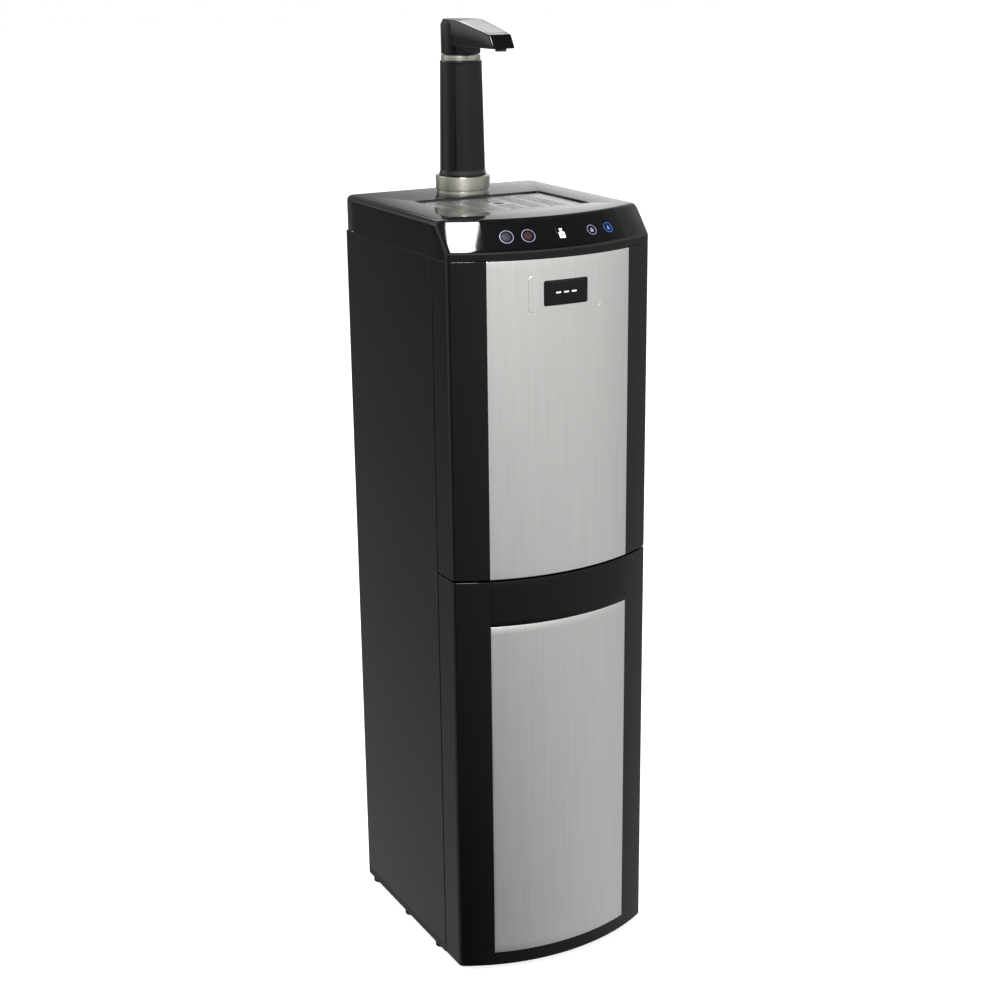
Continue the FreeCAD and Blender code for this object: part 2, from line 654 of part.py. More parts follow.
GRILLE_DRAINS = (("0 - drain_spread", "drain_inset - recess_front"),
                 ("drain_spread", "drain_inset - recess_front"), ("0", "middle_drain_place"))


def grille_slots():
    """Rows of wavy slots, every other row moved by half a slot, none near the middle drain."""
    width, length, bridge = size("slot_width"), size("slot_length"), size("slot_bridge")
    step, pitch = length + bridge, size("slot_pitch")
    half = size("recess_half_width") - size("grille_rim")
    low = size("grille_front_rim") - size("recess_front")
    high = size("recess_back") - size("grille_rim")
    foot = size("cabinet_height") - size("grille_drop") - size("grille_thick") - 1
    keep_out = size("grille_hole_radius") + bridge
    cutters = []
    for row in range(int((high - low)//pitch)):
        y = low + pitch*(row + 0.5)
        count = int((2*half - row % 2*step/2)//step)
        start = (bridge - count*step)/2
        for x in [start + number*step for number in range(count)]:
            in_line = abs(y - size("middle_drain_place")) < keep_out
            if not (in_line and x < keep_out and x + length > -keep_out):
                cutters.append(wavy_slot(x, y, length, width, foot))
    return Part.makeCompound(cutters)


def wavy_slot(x, y, length, width, foot):
    """One slot: up and down by a fifth of its length along X."""
    rise = length/5
    middle = [Vector(x + length*share, y + rise*lift, foot)
              for share, lift in ((0, -0.25), (0.25, 0.25), (0.5, 0.25), (0.75, -0.25), (1, -0.25))]
    up, down = Vector(0, width/2, 0), Vector(0, -width/2, 0)
    loop = [point + up for point in middle] + [point + down for point in reversed(middle)]
    return Part.Face(Part.makePolygon(loop + [loop[0]])).extrude(Vector(0, 0, 5))


# ---------------------------------------------------------------- tower and spout
def tower_flange():
    """Plated foot of the tower, grooved near its foot."""
    groove = "flange_height*0.2"
    return part("tower_flange", lathe((
        ("column_bore - 6", "0"), ("flange_radius - 1", "0"), ("flange_radius - 1", groove),
        ("flange_radius - 2.2", groove), ("flange_radius - 2.2", f"{groove} + 1"),
        ("flange_radius", f"{groove} + 2"), ("flange_radius", "flange_height - 1.5"),
        ("flange_radius - 1.5", "flange_height"), ("column_bore - 6", "flange_height"),
    ), "0", "tower_place", "cabinet_height"))


def tower_column():
    """Gloss column that tapers upward, flared at its foot and lipped at its top."""
    return part("tower_column", lathe((
        ("column_bore", "0"), ("column_foot_radius + 1.6", "0"), ("column_foot_radius", "6"),
        ("column_top_radius", "column_height - 3"), ("column_top_radius - 1.4", "column_height"),
        ("column_bore", "column_height"),
    ), "0", "tower_place", FLANGE_TOP))


def tower_collar():
    """Plated ring that caps the column and carries the swivelling head."""
    return part("tower_collar", lathe((
        ("collar_radius - 8", "0"), ("collar_radius", "0"), ("collar_radius", "collar_height - 1"),
        ("collar_radius - 1", "collar_height"), ("collar_radius - 8", "collar_height"),
    ), "0", "tower_place", COLLAR_FOOT))


def spout_head():
    """Head: a round neck with a chamfered top and a tapering arm with a sloped top."""
    neck = lathe((
        ("0", "0"), ("neck_radius - 2", "0"), ("neck_radius", "2"), ("neck_radius", "head_height - 7"),
        ("neck_radius - 4", "head_height"), ("0", "head_height"),
    ), "0", "tower_place", NECK_FOOT)
    plan = prism("XY_Plane", (
        ("0 - arm_root_half_width", "tower_place"), ("0 - arm_tip_half_width", "tower_place - arm_reach"),
        ("arm_tip_half_width", "tower_place - arm_reach"), ("arm_root_half_width", "tower_place"),
    ), ARM_FOOT, HEAD_TOP)
    profile = prism("YZ_Plane", (
        ("tower_place + 1", ARM_FOOT), ("tower_place - arm_reach", ARM_FOOT),
        ("tower_place - arm_reach + tip_rake", f"{HEAD_TOP} - tip_drop"),
        ("tower_place - arm_root_half_width", HEAD_TOP), ("tower_place + 1", HEAD_TOP),
    ), "0 - neck_radius", "neck_radius")
    nozzle_seat = rod("nozzle_radius + running_fit", "0", "tower_place - nozzle_reach",
                      f"{ARM_FOOT} - 1", "6")
    tube_way = rod("water_tube_radius + 8", "0", "tower_place", f"{NECK_FOOT} - 1", "head_height - 12")
    plate_seat = prism("YZ_Plane", plate_profile("0.6", "6"), "0 - arm_tip_half_width + 3",
                       "arm_tip_half_width - 3")
    arm = common(plan, profile)
    return part("spout_head", cut(fuse(neck, arm), nozzle_seat, tube_way, plate_seat))


def plate_profile(depth, proud):
    """Side view of the inlay on the sloping top of the arm, between two depths."""
    root = "tower_place - arm_root_half_width - 6"
    tip = "tower_place - arm_reach + tip_rake + 6"
    fall = f"(tip_drop/(arm_reach - tip_rake - arm_root_half_width))"
    high = f"({HEAD_TOP} - 6*{fall})"
    low = f"({HEAD_TOP} - tip_drop + 6*{fall})"
    return ((root, f"{high} - {depth}"), (tip, f"{low} - {depth}"),
            (tip, f"{low} + {proud}"), (root, f"{high} + {proud}"))


def spout_top_plate():
    """Thin gloss inlay on the sloping top of the arm."""
    return part("spout_top_plate", prism("YZ_Plane", plate_profile("0.55", "0.3"),
                                         "0 - arm_tip_half_width + 3.3", "arm_tip_half_width - 3.3"))


def spout_nozzle():
    """Outlet nozzle pressed into the underside of the arm."""
    foot = f"{ARM_FOOT} - nozzle_proud"
    outer = rod("nozzle_radius", "0", "tower_place - nozzle_reach", foot, "nozzle_proud + 4.9")
    bore = rod("nozzle_bore", "0", "tower_place - nozzle_reach", f"{foot} - 1", "nozzle_proud + 12")
    return part("spout_nozzle", cut(outer, bore))


# ---------------------------------------------------------------- door
def door_frame():
    """Gloss door moulding with seats for the stainless panel and the strip above it."""
    shell = front_shell(("door_lift", DOOR_TOP), open_foot=False)
    seat = bowed_skin("steel_half_width + fit_gap", "0 - 1", "steel_skin",
                      ("rail_height - fit_gap", f"{DOOR_TOP} + 1"))
    pockets = [rod("hinge_pin_radius + bush_wall", HINGE_X, HINGE_Y, z, "shell_wall + 2")
               for z in ("door_lift - 1", f"{DOOR_TOP} - shell_wall - 1")]
    return part("door_frame", cut(shell, seat, *pockets))


def door_steel_panel():
    """Brushed stainless sheet of the door."""
    return part("door_steel_panel", bowed_skin("steel_half_width", "0", "steel_skin - 0.05",
                                               ("rail_height", f"{STRIP_FOOT} - 0.3")))


def door_strip():
    """Gloss strip across the top of the door."""
    return part("door_strip", bowed_skin("steel_half_width", "0", "steel_skin - 0.05",
                                         (f"{STRIP_FOOT} + 0.3", DOOR_TOP)))


def door_liner():
    """Inner skin of the door, bent along the same bow so the bottle has room."""
    half = f"{HALF} - shell_wall - 0.1"
    z = ("door_lift + shell_wall + 0.1", f"{DOOR_TOP} - shell_wall - 0.1")
    skin = bowed_skin(half, "14", "16", z)
    notches = [block(side(1, f"{HINGE_X} - 9", HALF), (f"{FRONT}", RETURN_END), zone)
               for zone in (("door_lift", "door_lift + 30"), (f"{DOOR_TOP} - 30", DOOR_TOP))]
    return part("door_liner", cut(skin, *notches))


def hinge_bushes():
    """Two acetal bushes in the foot and head of the door."""
    sleeves = []
    for z in ("door_lift + 0.2", f"{DOOR_TOP} - 12.2"):
        outer = rod("hinge_pin_radius + bush_wall - 0.05", HINGE_X, HINGE_Y, z, "12")
        bore = rod("hinge_pin_radius + running_fit", HINGE_X, HINGE_Y, f"{z} - 1", "14")
        sleeves.append(cut(outer, bore))
    return part("hinge_bushes", group(*sleeves))


def hinge_bracket(label, low, high, pin_low, pin_high):
    """Steel leaf fixed to the cabinet with a pin that stands into the door."""
    leaf = block((f"{HINGE_X} - 8", f"{HINGE_X} + 8"),
                 (f"{HINGE_Y} - 8", f"{BODY_FRONT} + 14"), (low, high))
    pin = rod("hinge_pin_radius", HINGE_X, HINGE_Y, pin_low, f"({pin_high}) - ({pin_low})")
    return part(label, fuse(leaf, pin))


def door_magnet():
    """Magnet block of the catch, on the free side of the door."""
    x = side(-1, f"{HALF} - 44", f"{HALF} - 14")
    return part("door_magnet", block(x, (f"{RETURN_END} - 16", f"{RETURN_END} + 0.5"),
                                     (f"{DOOR_TOP} - shell_wall - 12", f"{DOOR_TOP} - shell_wall - 0.1")))


def strike_plate():
    """Steel strike on the deck lip that the magnet holds."""
    x = side(-1, f"{HALF} - 46", f"{HALF} - 13")
    front = f"{BODY_FRONT} - 0.8"
    return part("strike_plate", block(x, (front, f"{BODY_FRONT} + sheet_wall + 0.1"),
                                      (f"{DOOR_TOP} - 17", f"{DOOR_TOP} - 2")))


# ---------------------------------------------------------------- works above the deck
COMPRESSOR = (f"{HALF} - 76", f"{REAR_PANEL} - compressor_radius - 12")
COLD_FOOT = f"({DECK_TOP} + compressor_height + 55)"
COLD_TOP = f"({COLD_FOOT} + cold_tank_height)"
COLD_Y = "(0 - 8)"


def compressor():
    """Hermetic shell with a domed top, on a pressed mounting plate."""
    x, y = f"0 - ({COMPRESSOR[0]})", COMPRESSOR[1]
    shell = lathe((
        ("0", "0"), ("compressor_radius - 14", "0"), ("compressor_radius - 3", "10"),
        ("compressor_radius - 3", "compressor_height*0.45"),
        ("compressor_radius", "compressor_height*0.45"),
        ("compressor_radius", "compressor_height*0.5"),
        ("compressor_radius - 3", "compressor_height*0.5"),
        ("compressor_radius - 3", "compressor_height - 26"),
        ("compressor_radius - 18", "compressor_height - 6"),
        ("compressor_radius - 36", "compressor_height"), ("0", "compressor_height"),
    ), x, y, f"{DECK_TOP} + 9")
    plate = block((f"{x} - 66", f"{x} + 66"), (f"{y} - 50", f"{y} + 50"),
                  (f"{DECK_TOP} + 7", f"{DECK_TOP} + 10"))
    hollow = rod("compressor_radius - 18", x, y, f"{DECK_TOP} + 16", "compressor_height - 24")
    mouth = rod("12", x, y, f"{DECK_TOP} + 6", "20")
    return part("compressor", cut(fuse(shell, plate), hollow, mouth))


def compressor_grommets():
    """Four rubber grommets between the deck and the compressor plate."""
    x, y = f"0 - ({COMPRESSOR[0]})", COMPRESSOR[1]
    pads = [rod("7", f"{x} + {across}", f"{y} + {along}", DECK_TOP, "7")
            for across in (-56, 56) for along in (-40, 40)]
    return part("compressor_grommets", group(*pads))


def hot_tank():
    """Small stainless boiler on three stub feet."""
    body = lathe((
        ("0", "0"), ("hot_tank_radius - 6", "0"), ("hot_tank_radius", "8"),
        ("hot_tank_radius", "hot_tank_height - 8"), ("hot_tank_radius - 8", "hot_tank_height"),
        ("0", "hot_tank_height"),
    ), HOT_TANK[0], HOT_TANK[1], f"{DECK_TOP} + 12")
    hollow = rod("hot_tank_radius - tank_wall", HOT_TANK[0], HOT_TANK[1], f"{DECK_TOP} + 20",
                 "hot_tank_height - 16")
    port = rod("4", HOT_TANK[0], HOT_TANK[1], f"{DECK_TOP} + hot_tank_height - 10", "40")
    stubs = [rod("4", f"{HOT_TANK[0]} + {across}", f"{HOT_TANK[1]} + {along}", DECK_TOP, "13")
             for across, along in ((-28, -16), (28, -16), (0, 30))]
    return part("hot_tank", fuse(cut(body, hollow, port), *stubs))


def heater_band():
    """Band heater clamped round the hot tank."""
    z = f"{DECK_TOP} + 50"
    outer = rod("hot_tank_radius + 4", HOT_TANK[0], HOT_TANK[1], z, "42")
    inner = rod("hot_tank_radius + 0.02", HOT_TANK[0], HOT_TANK[1], f"{z} - 1", "44")
    return part("heater_band", cut(outer, inner))


def cold_tank():
    """Stainless cold water tank under the drip tray, open at the top."""
    return part("cold_tank", lathe((
        ("0", "0"), ("cold_tank_radius - 8", "0"), ("cold_tank_radius", "8"),
        ("cold_tank_radius", "cold_tank_height"), ("cold_tank_radius - tank_wall", "cold_tank_height"),
        ("cold_tank_radius - tank_wall", "9"), ("cold_tank_radius - 9", "tank_wall"), ("0", "tank_wall"),
    ), "0", COLD_Y, COLD_FOOT))


def cold_tank_lid():
    """Moulded lid that closes the cold tank and its foam, with two stub pipes."""
    lid = rod("cold_tank_radius + 12", "0", COLD_Y, f"{COLD_TOP} + 0.1", "5")
    stubs = [rod("4", place, COLD_Y, f"{COLD_TOP} + 4", "14") for place in ("0 - 7", "7")]
    return part("cold_tank_lid", fuse(lid, *stubs))


def cold_tank_jacket():
    """Foam block round the cold tank, bored for the tank and its coil."""
    bore = "cold_tank_radius + 2*coil_radius + 0.6"
    half = f"({bore} + jacket_wall)"
    foam = block(centred(half), (f"{COLD_Y} - {half}", f"{COLD_Y} + {half}"),
                 (f"{COLD_FOOT} - jacket_wall", COLD_TOP))
    pocket = rod(bore, "0", COLD_Y, COLD_FOOT, "cold_tank_height + 1")
    return part("cold_tank_jacket", cut(foam, pocket))


def evaporator_coil():
    """Rings of copper tube round the cold tank."""
    rings = []
    for turn in range(9):
        ring = document.addObject("Part::Torus", "ring")
        bind(ring, Radius1="cold_tank_radius + coil_radius + 0.3", Radius2="coil_radius")
        rings.append(put(ring, "0", COLD_Y, f"{COLD_FOOT} + 30 + {turn}*(2*coil_radius + 5)"))
    return part("evaporator_coil", group(*rings))


def water_pump():
    """Diaphragm pump lying on the deck, motor behind the pump head."""
    z = f"{DECK_TOP} + 26"
    head = block(("0 - 25", "25"), (f"{BODY_FRONT} + 12", f"{BODY_FRONT} + 42"),
                 (f"{DECK_TOP} + 4", f"{DECK_TOP} + 52"))
    motor = rod("17", "0", f"{BODY_FRONT} + 40", z, "58", axis="Y")
    foot = block(("0 - 20", "20"), (f"{BODY_FRONT} + 14", f"{BODY_FRONT} + 90"),
                 (DECK_TOP, f"{DECK_TOP} + 12"))
    return part("water_pump", fuse(head, motor, foot))


def valve_block():
    """Two solenoid valves on one manifold."""
    x = f"{HALF} - 60"
    manifold = block((f"{x} - 30", f"{x} + 30"), (f"{BODY_FRONT} + 12", f"{BODY_FRONT} + 38"),
                     (DECK_TOP, f"{DECK_TOP} + 20"))
    coils = [rod("11", f"{x} + {place}", f"{BODY_FRONT} + 25", f"{DECK_TOP} + 18", "34")
             for place in (-15, 15)]
    return part("valve_block", fuse(manifold, *coils))


def power_supply():
    """Power board in its vented case on the left wall."""
    x = side(-1, f"{HALF} - 32", f"{HALF} - sheet_wall - 0.2")
    return part("power_supply", block(x, (f"{BODY_FRONT} + 20", f"{BODY_FRONT} + 110"),
                                      (f"{COLD_FOOT} + 10", f"{COLD_FOOT} + 130")))


def drain_plug():
    """Screw cap of the hot tank drain, through the rear panel."""
    start = f"({HOT_TANK[1]} + hot_tank_radius + 0.1)"
    pipe = rod("5", HOT_TANK[0], start, DRAIN_HEIGHT, f"{REAR_PANEL} + 6 - {start}", axis="Y")
    knob = rod("11", HOT_TANK[0], f"{REAR_PANEL} + sheet_wall + 0.1", DRAIN_HEIGHT, "12", axis="Y")
    return part("drain_plug", fuse(pipe, knob))


# ---------------------------------------------------------------- tubes
def bent_tube(points, radius, bend):
    """A tube of straight runs joined by arcs that touch both runs.

    Each arc starts and ends a setback from its corner: bend times the tangent of half the turn.
    """
    corners = [Vector(*point) for point in points]
    edges, start = [], corners[0]
    for before, corner, after in zip(corners, corners[1:], corners[2:]):
        back = (before - corner).normalize()
        ahead = (after - corner).normalize()
        turn = math.pi - back.getAngle(ahead)
        setback = bend*math.tan(turn/2)
        first, last = corner + back*setback, corner + ahead*setback
        bisector = (back + ahead).normalize()
        middle = corner + bisector*(bend/math.cos(turn/2) - bend)
        if (first - start).Length > 0.001:
            edges.append(Part.LineSegment(start, first).toShape())
        edges.append(Part.Arc(first, middle, last).toShape())
        start = last
    edges.append(Part.LineSegment(start, corners[-1]).toShape())
    path = Part.Wire(edges)
    heading = corners[1] - corners[0]
    section = Part.Wire(Part.makeCircle(radius, corners[0], heading))
    return path.makePipeShell([section], True, False)


def condenser_rows():
    """Heights of the condenser's runs."""
    low, high = size("base_height") + 60, size("split_height") - 90
    pitch = size("condenser_pitch")
    return [low + pitch*step for step in range(int((high - low)//pitch) + 1)]


def condenser_y():
    """The plane of the condenser behind the rear panel."""
    back = (size("front_bow") + size("body_depth"))/2
    return back - size("rear_inset") + 14


def condenser_coil():
    """Serpentine tube behind the rear panel."""
    half, y = size("condenser_half_width"), condenser_y()
    points, sign = [], -1
    for height in condenser_rows():
        points += [(sign*half, y, height), (-sign*half, y, height)]
        sign = -sign
    return part("condenser_coil", feature(bent_tube(points, size("condenser_tube_radius"),
                                                    size("condenser_pitch")*0.49)))


def condenser_wires():
    """Upright steel wires welded across the serpentine."""
    rows = condenser_rows()
    half = size("condenser_half_width") - size("condenser_pitch")
    y = condenser_y() + size("condenser_tube_radius") + size("wire_radius")
    low, length = rows[0] - 8, rows[-1] - rows[0] + 16
    count = 22
    wires = [Part.makeCylinder(size("wire_radius"), length, Vector(half*(2*i/(count - 1) - 1), y, low))
             for i in range(count)]
    return part("condenser_wires", feature(Part.makeCompound(wires)))


def condenser_brackets():
    """Four clips between the rear panel and the serpentine."""
    rows = condenser_rows()
    y = condenser_y()
    back = (size("front_bow") + size("body_depth"))/2 - size("rear_inset") + size("sheet_wall")
    reach = y - size("condenser_tube_radius") - back
    clips = [Part.makeBox(12, reach, 14, Vector(sign*(size("condenser_half_width") - 40) - 6, back, z - 7))
             for sign in (-1, 1) for z in (rows[1], rows[-2])]
    return part("condenser_brackets", feature(Part.makeCompound(clips)))


def water_tube(label, x):
    """A silicone tube that rises from the works through the tower to the spout head."""
    foot = "(cabinet_height - recess_depth - shell_wall - 38)"
    return part(label, rod("water_tube_radius", x, "tower_place", foot, f"{COLLAR_FOOT} + 4 - {foot}"))


def bottle_probe():
    """Cap and rigid tube that stand in the bottle, parked in the corner of the bay."""
    x, y, z = PROBE
    cap = lathe((
        ("0", "0"), ("probe_cap_radius - 6", "0"), ("probe_cap_radius - 6", "12"),
        ("probe_cap_radius", "14"),
        ("probe_cap_radius", "probe_cap_height - 4"), ("probe_cap_radius - 4", "probe_cap_height"),
        ("0", "probe_cap_height"),
    ), x, y, z)
    part("probe_cap", cut(cap, rod("probe_tube_radius + running_fit", x, y, f"{z} - 1", "13")))
    tube = rod("probe_tube_radius", x, y, f"{z} - probe_tube_length + 11.9", "probe_tube_length")
    bore = rod("probe_tube_radius - 1.5", x, y, f"{z} - probe_tube_length", "probe_tube_length + 20")
    part("probe_tube", cut(tube, bore))


PROBE = ("(bay_half_width - probe_cap_radius - 10)", f"({BAY_BACK} - probe_cap_radius - 6)",
         "(base_height + probe_tube_length + 40)")


def probe_holder():
    """Open ring on the bay's rear wall that the cap sits in."""
    x, y, z = PROBE
    plate = block((f"{x} - 30", f"{x} + 30"), (f"{y} - 30", f"{BAY_BACK} - 0.05"),
                  (f"{z} + 4", f"{z} + 11.9"))
    hole = rod("probe_cap_radius - 5.4", x, y, z, "20")
    return part("probe_holder", cut(plate, hole))


def rear_screws():
    """Pan head screws that hold the rear panel."""
    heads = []
    for sign in (-1, 1):
        for height in ("base_height + 20", "split_height", f"{CAP_FOOT} - 30"):
            heads.append(rod("3.5", f"{sign}*({HALF} - 24)", f"{REAR_PANEL} + sheet_wall", height,
                             "2.4", axis="Y"))
    return part("rear_screws", group(*heads))


# ---------------------------------------------------------------- build
base_plate()
feet()
side_panel("left_side_panel", -1)
side_panel("right_side_panel", 1)
rear_panel()
power_inlet()
mid_deck()
bay_liner()
upper_fascia()
upper_steel_panel()
badge_window()
top_cover()
control_panel()
bottle_light()
control_board()
for label, sign, place, radius in BUTTONS:
    button(label, sign, place, radius)
drip_tray()
drip_grille()
tower_flange()
tower_column()
tower_collar()
spout_head()
spout_top_plate()
spout_nozzle()
door_frame()
door_steel_panel()
door_strip()
door_liner()
hinge_bushes()
hinge_bracket("lower_hinge_bracket", "door_lift - 3.6", "door_lift - 0.6", "door_lift - 1", "door_lift + 11")
hinge_bracket("upper_hinge_bracket", f"{DOOR_TOP} + 0.3", FASCIA_FOOT, f"{DOOR_TOP} - 11", f"{DOOR_TOP} + 1")
door_magnet()
strike_plate()
compressor()
compressor_grommets()
hot_tank()
heater_band()
cold_tank()
cold_tank_lid()
cold_tank_jacket()
evaporator_coil()
water_pump()
valve_block()
power_supply()
drain_plug()
condenser_coil()
condenser_wires()
condenser_brackets()
water_tube("cold_water_tube", "0 - water_tube_radius - 3")
water_tube("hot_water_tube", "water_tube_radius + 3")
bottle_probe()
probe_holder()
rear_screws()
document.recompute()

# ---------------------------------------------------------------- check and write
for item in document.Objects:
    if "Invalid" in item.State or "Error" in item.State:
        raise RuntimeError(f"{item.Label} did not build: {item.State}")
for item in parts:
    if item.Shape.isNull() or not item.Shape.isValid() or item.Shape.Volume <= 0:
        raise RuntimeError(f"{item.Label} has no sound shape")
os.makedirs("parts", exist_ok=True)
for item in parts:
    item.Shape.exportStep(f"parts/{item.Label}.step")
print(len(parts), "parts written")
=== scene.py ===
"""Looks of a floor-standing water dispenser, built round its packed design."""
import json
import math

import bmesh
import bpy
import numpy as np
from mathutils import Matrix, Vector


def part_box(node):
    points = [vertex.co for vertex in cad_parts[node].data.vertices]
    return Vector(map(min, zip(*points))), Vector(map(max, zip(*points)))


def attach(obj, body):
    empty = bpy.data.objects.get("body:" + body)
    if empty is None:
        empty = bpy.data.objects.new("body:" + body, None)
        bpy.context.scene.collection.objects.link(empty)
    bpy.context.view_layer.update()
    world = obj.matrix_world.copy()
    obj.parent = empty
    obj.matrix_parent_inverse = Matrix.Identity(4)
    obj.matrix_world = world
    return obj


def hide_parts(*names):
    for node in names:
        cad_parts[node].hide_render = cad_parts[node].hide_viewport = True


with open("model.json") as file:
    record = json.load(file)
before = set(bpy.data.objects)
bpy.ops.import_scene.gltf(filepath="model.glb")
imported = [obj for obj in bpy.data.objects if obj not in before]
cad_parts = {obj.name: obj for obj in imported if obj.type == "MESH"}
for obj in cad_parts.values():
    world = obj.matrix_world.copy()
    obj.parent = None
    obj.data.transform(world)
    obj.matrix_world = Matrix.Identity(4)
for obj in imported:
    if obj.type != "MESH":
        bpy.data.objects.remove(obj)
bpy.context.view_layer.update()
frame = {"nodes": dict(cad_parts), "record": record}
nodes = frame["nodes"]
scene = bpy.context.scene

# ------------------------------------------------------------------ studio
# A white floor that the camera sees as plain white, a key soft box high in front on the left and a weak
# one behind. The room's light changes with bearing and height; it shows in reflections and in the shading.
VIEW_PLACE = (-1.18628, -2.19950, 1.44556)
VIEW_FORWARD = Vector((0.45129, 0.84069, -0.29930)).normalized()
VIEW_RIGHT = Vector((0.87948, -0.47582, -0.01043)).normalized()
VIEW_LENS, SENSOR_WIDTH, FAR_CLIP = 64.56, 36, 60

lens = bpy.data.cameras.new("studio_camera")
lens.lens = VIEW_LENS
lens.sensor_width = SENSOR_WIDTH
lens.clip_end = FAR_CLIP
camera = bpy.data.objects.new("studio_camera", lens)
scene.collection.objects.link(camera)
view_up = VIEW_RIGHT.cross(VIEW_FORWARD)
view_turn = Matrix((VIEW_RIGHT, view_up, -VIEW_FORWARD)).transposed().to_4x4()
camera.matrix_world = Matrix.Translation(VIEW_PLACE) @ view_turn
scene.camera = camera
scene.view_settings.view_transform = "Standard"

room = bpy.data.worlds.new("room")
room.use_nodes = True
scene.world = room
tree = room.node_tree
tree.nodes.clear()


def wire(tree, kind, inputs=None, **settings):
    """Adds one node, with its settings, and fills its inputs with values or with other nodes' outputs."""
    node = tree.nodes.new(kind)
    for name, value in settings.items():
        setattr(node, name, value)
    for key, value in (inputs or {}).items():
        if isinstance(value, bpy.types.NodeSocket):
            tree.links.new(value, node.inputs[key])
        else:
            node.inputs[key].default_value = value
    return node


def spread(tree, value, start, end, low=0.0, high=1.0):
    """A value's way from start to end, as a value from low to high."""
    return wire(tree, "ShaderNodeMapRange", {"Value": value, "From Min": start, "From Max": end,
                                             "To Min": low, "To Max": high}).outputs[0]


def blend(tree, factor, first, second):
    """A colour that is the first where the factor is 0 and the second where it is 1."""
    return wire(tree, "ShaderNodeMix", {0: factor, 6: first, 7: second}, data_type="RGBA").outputs[2]


def bands(tree, factor, stops):
    """A colour ramp of grey levels: each stop is (place from 0 to 1, level)."""
    ramp = wire(tree, "ShaderNodeValToRGB", {"Fac": factor})
    row = ramp.color_ramp.elements
    while len(row) < len(stops):
        row.new(0.5)
    for step, (place, level) in zip(row, stops):
        step.position = place
        step.color = (level, level, level, 1)
    return ramp.outputs["Color"]


def bearing(degrees):
    """A compass bearing round the dispenser, 0 in front and -90 on its left, as a place on a ramp."""
    return (degrees + 180) / 360


# The room's light as (bearing, level): over the floor far off and close by, and on the walls low and high.
FAR_FLOOR = [(-180, .45), (-164, .36), (-157, .14), (-150, .10), (-142, .45), (-116, .80), (-96, .45),
             (-80, .26), (-67, .22), (-65.5, .01), (-57.5, .01), (-56, .50), (-28, .50), (-5, .62), (45, .62),
             (80, .42), (110, .16), (150, .16), (180, .45)]
NEAR_FLOOR = [(-180, .55), (-160, .50), (-150, .30), (-122, .40), (-75, .20), (-67, .16), (-65.5, .01),
              (-57.5, .01), (-56, .08), (-28, .06), (-12, .14), (28, .34), (70, .50), (90, .45), (120, .20),
              (150, .20), (180, .55)]
LOW_WALL = [(-180, .32), (-158, .34), (-153, .80), (-147, 1.25), (-120, 1.1), (-95, .75), (-60, 1.5),
            (-12, 2.0), (25, 1.35), (60, 1.1), (95, .60), (130, 1.2), (146, 1.25), (150, 1.15), (153, .62),
            (156, .24), (180, .30)]
HIGH_WALL = [(-180, 1.0), (-130, .9), (-80, .40), (-40, .16), (60, .16), (110, .30), (150, .9), (180, 1.0)]
# Where one tone passes into the next, as the upward part of the direction looked along.
FLOOR_FAR_TO_NEAR, NEARNESS_POWER = (-.06, -.5), 1.6
WALL_LOW_TO_HIGH, FLOOR_TO_WALL = (.42, .62), (-.075, .03)
direction = wire(tree, "ShaderNodeTexCoord").outputs["Generated"]
split = wire(tree, "ShaderNodeSeparateXYZ", {0: direction})
toward = wire(tree, "ShaderNodeMath", {0: split.outputs["Y"], 1: -1.0}, operation="MULTIPLY").outputs[0]
angle = wire(tree, "ShaderNodeMath", {0: split.outputs["X"], 1: toward}, operation="ARCTAN2").outputs[0]
around = spread(tree, angle, -math.pi, math.pi)
levels = [bands(tree, around, [(bearing(place), level) for place, level in stops])
          for stops in (FAR_FLOOR, NEAR_FLOOR, LOW_WALL, HIGH_WALL)]
upward = split.outputs["Z"]
nearness = wire(tree, "ShaderNodeMath", {0: spread(tree, upward, *FLOOR_FAR_TO_NEAR), 1: NEARNESS_POWER},
                operation="POWER").outputs[0]
floor_glow = blend(tree, nearness, levels[0], levels[1])
wall_glow = blend(tree, spread(tree, upward, *WALL_LOW_TO_HIGH), levels[2], levels[3])
around_glow = blend(tree, spread(tree, upward, *FLOOR_TO_WALL), floor_glow, wall_glow)
glow = wire(tree, "ShaderNodeBackground", {"Color": around_glow, "Strength": 1.0})
plain = wire(tree, "ShaderNodeBackground", {"Color": (1, 1, 1, 1), "Strength": 1.0})
ray = wire(tree, "ShaderNodeLightPath")
seen = wire(tree, "ShaderNodeMixShader", {0: ray.outputs["Is Camera Ray"], 1: glow.outputs[0],
                                          2: plain.outputs[0]})
wire(tree, "ShaderNodeOutputWorld", {"Surface": seen.outputs[0]})


LIT_POINT = Vector((0, -.16, 1.08))


def soft_box(name, bearing_degrees, rise_degrees, distance, width, height, radiance):
    """A rectangular soft box that looks at the top of the dispenser. Its power is its radiance times pi times
    its area."""
    box = bpy.data.lights.new(name, "AREA")
    box.shape = "RECTANGLE"
    box.size, box.size_y = width, height
    box.energy = radiance * math.pi * width * height
    lamp = bpy.data.objects.new(name, box)
    turn, rise = math.radians(bearing_degrees), math.radians(rise_degrees)
    away = Vector((math.sin(turn) * math.cos(rise), -math.cos(turn) * math.cos(rise), math.sin(rise)))
    lamp.location = LIT_POINT + away * distance
    lamp.rotation_euler = (-away).to_track_quat("-Z", "Y").to_euler()
    scene.collection.objects.link(lamp)


soft_box("key_box", bearing_degrees=-34, rise_degrees=58, distance=2.4, width=.56, height=.95, radiance=40)
soft_box("back_box", bearing_degrees=160, rise_degrees=35, distance=3.0, width=1.6, height=1.0,
         radiance=2.5)

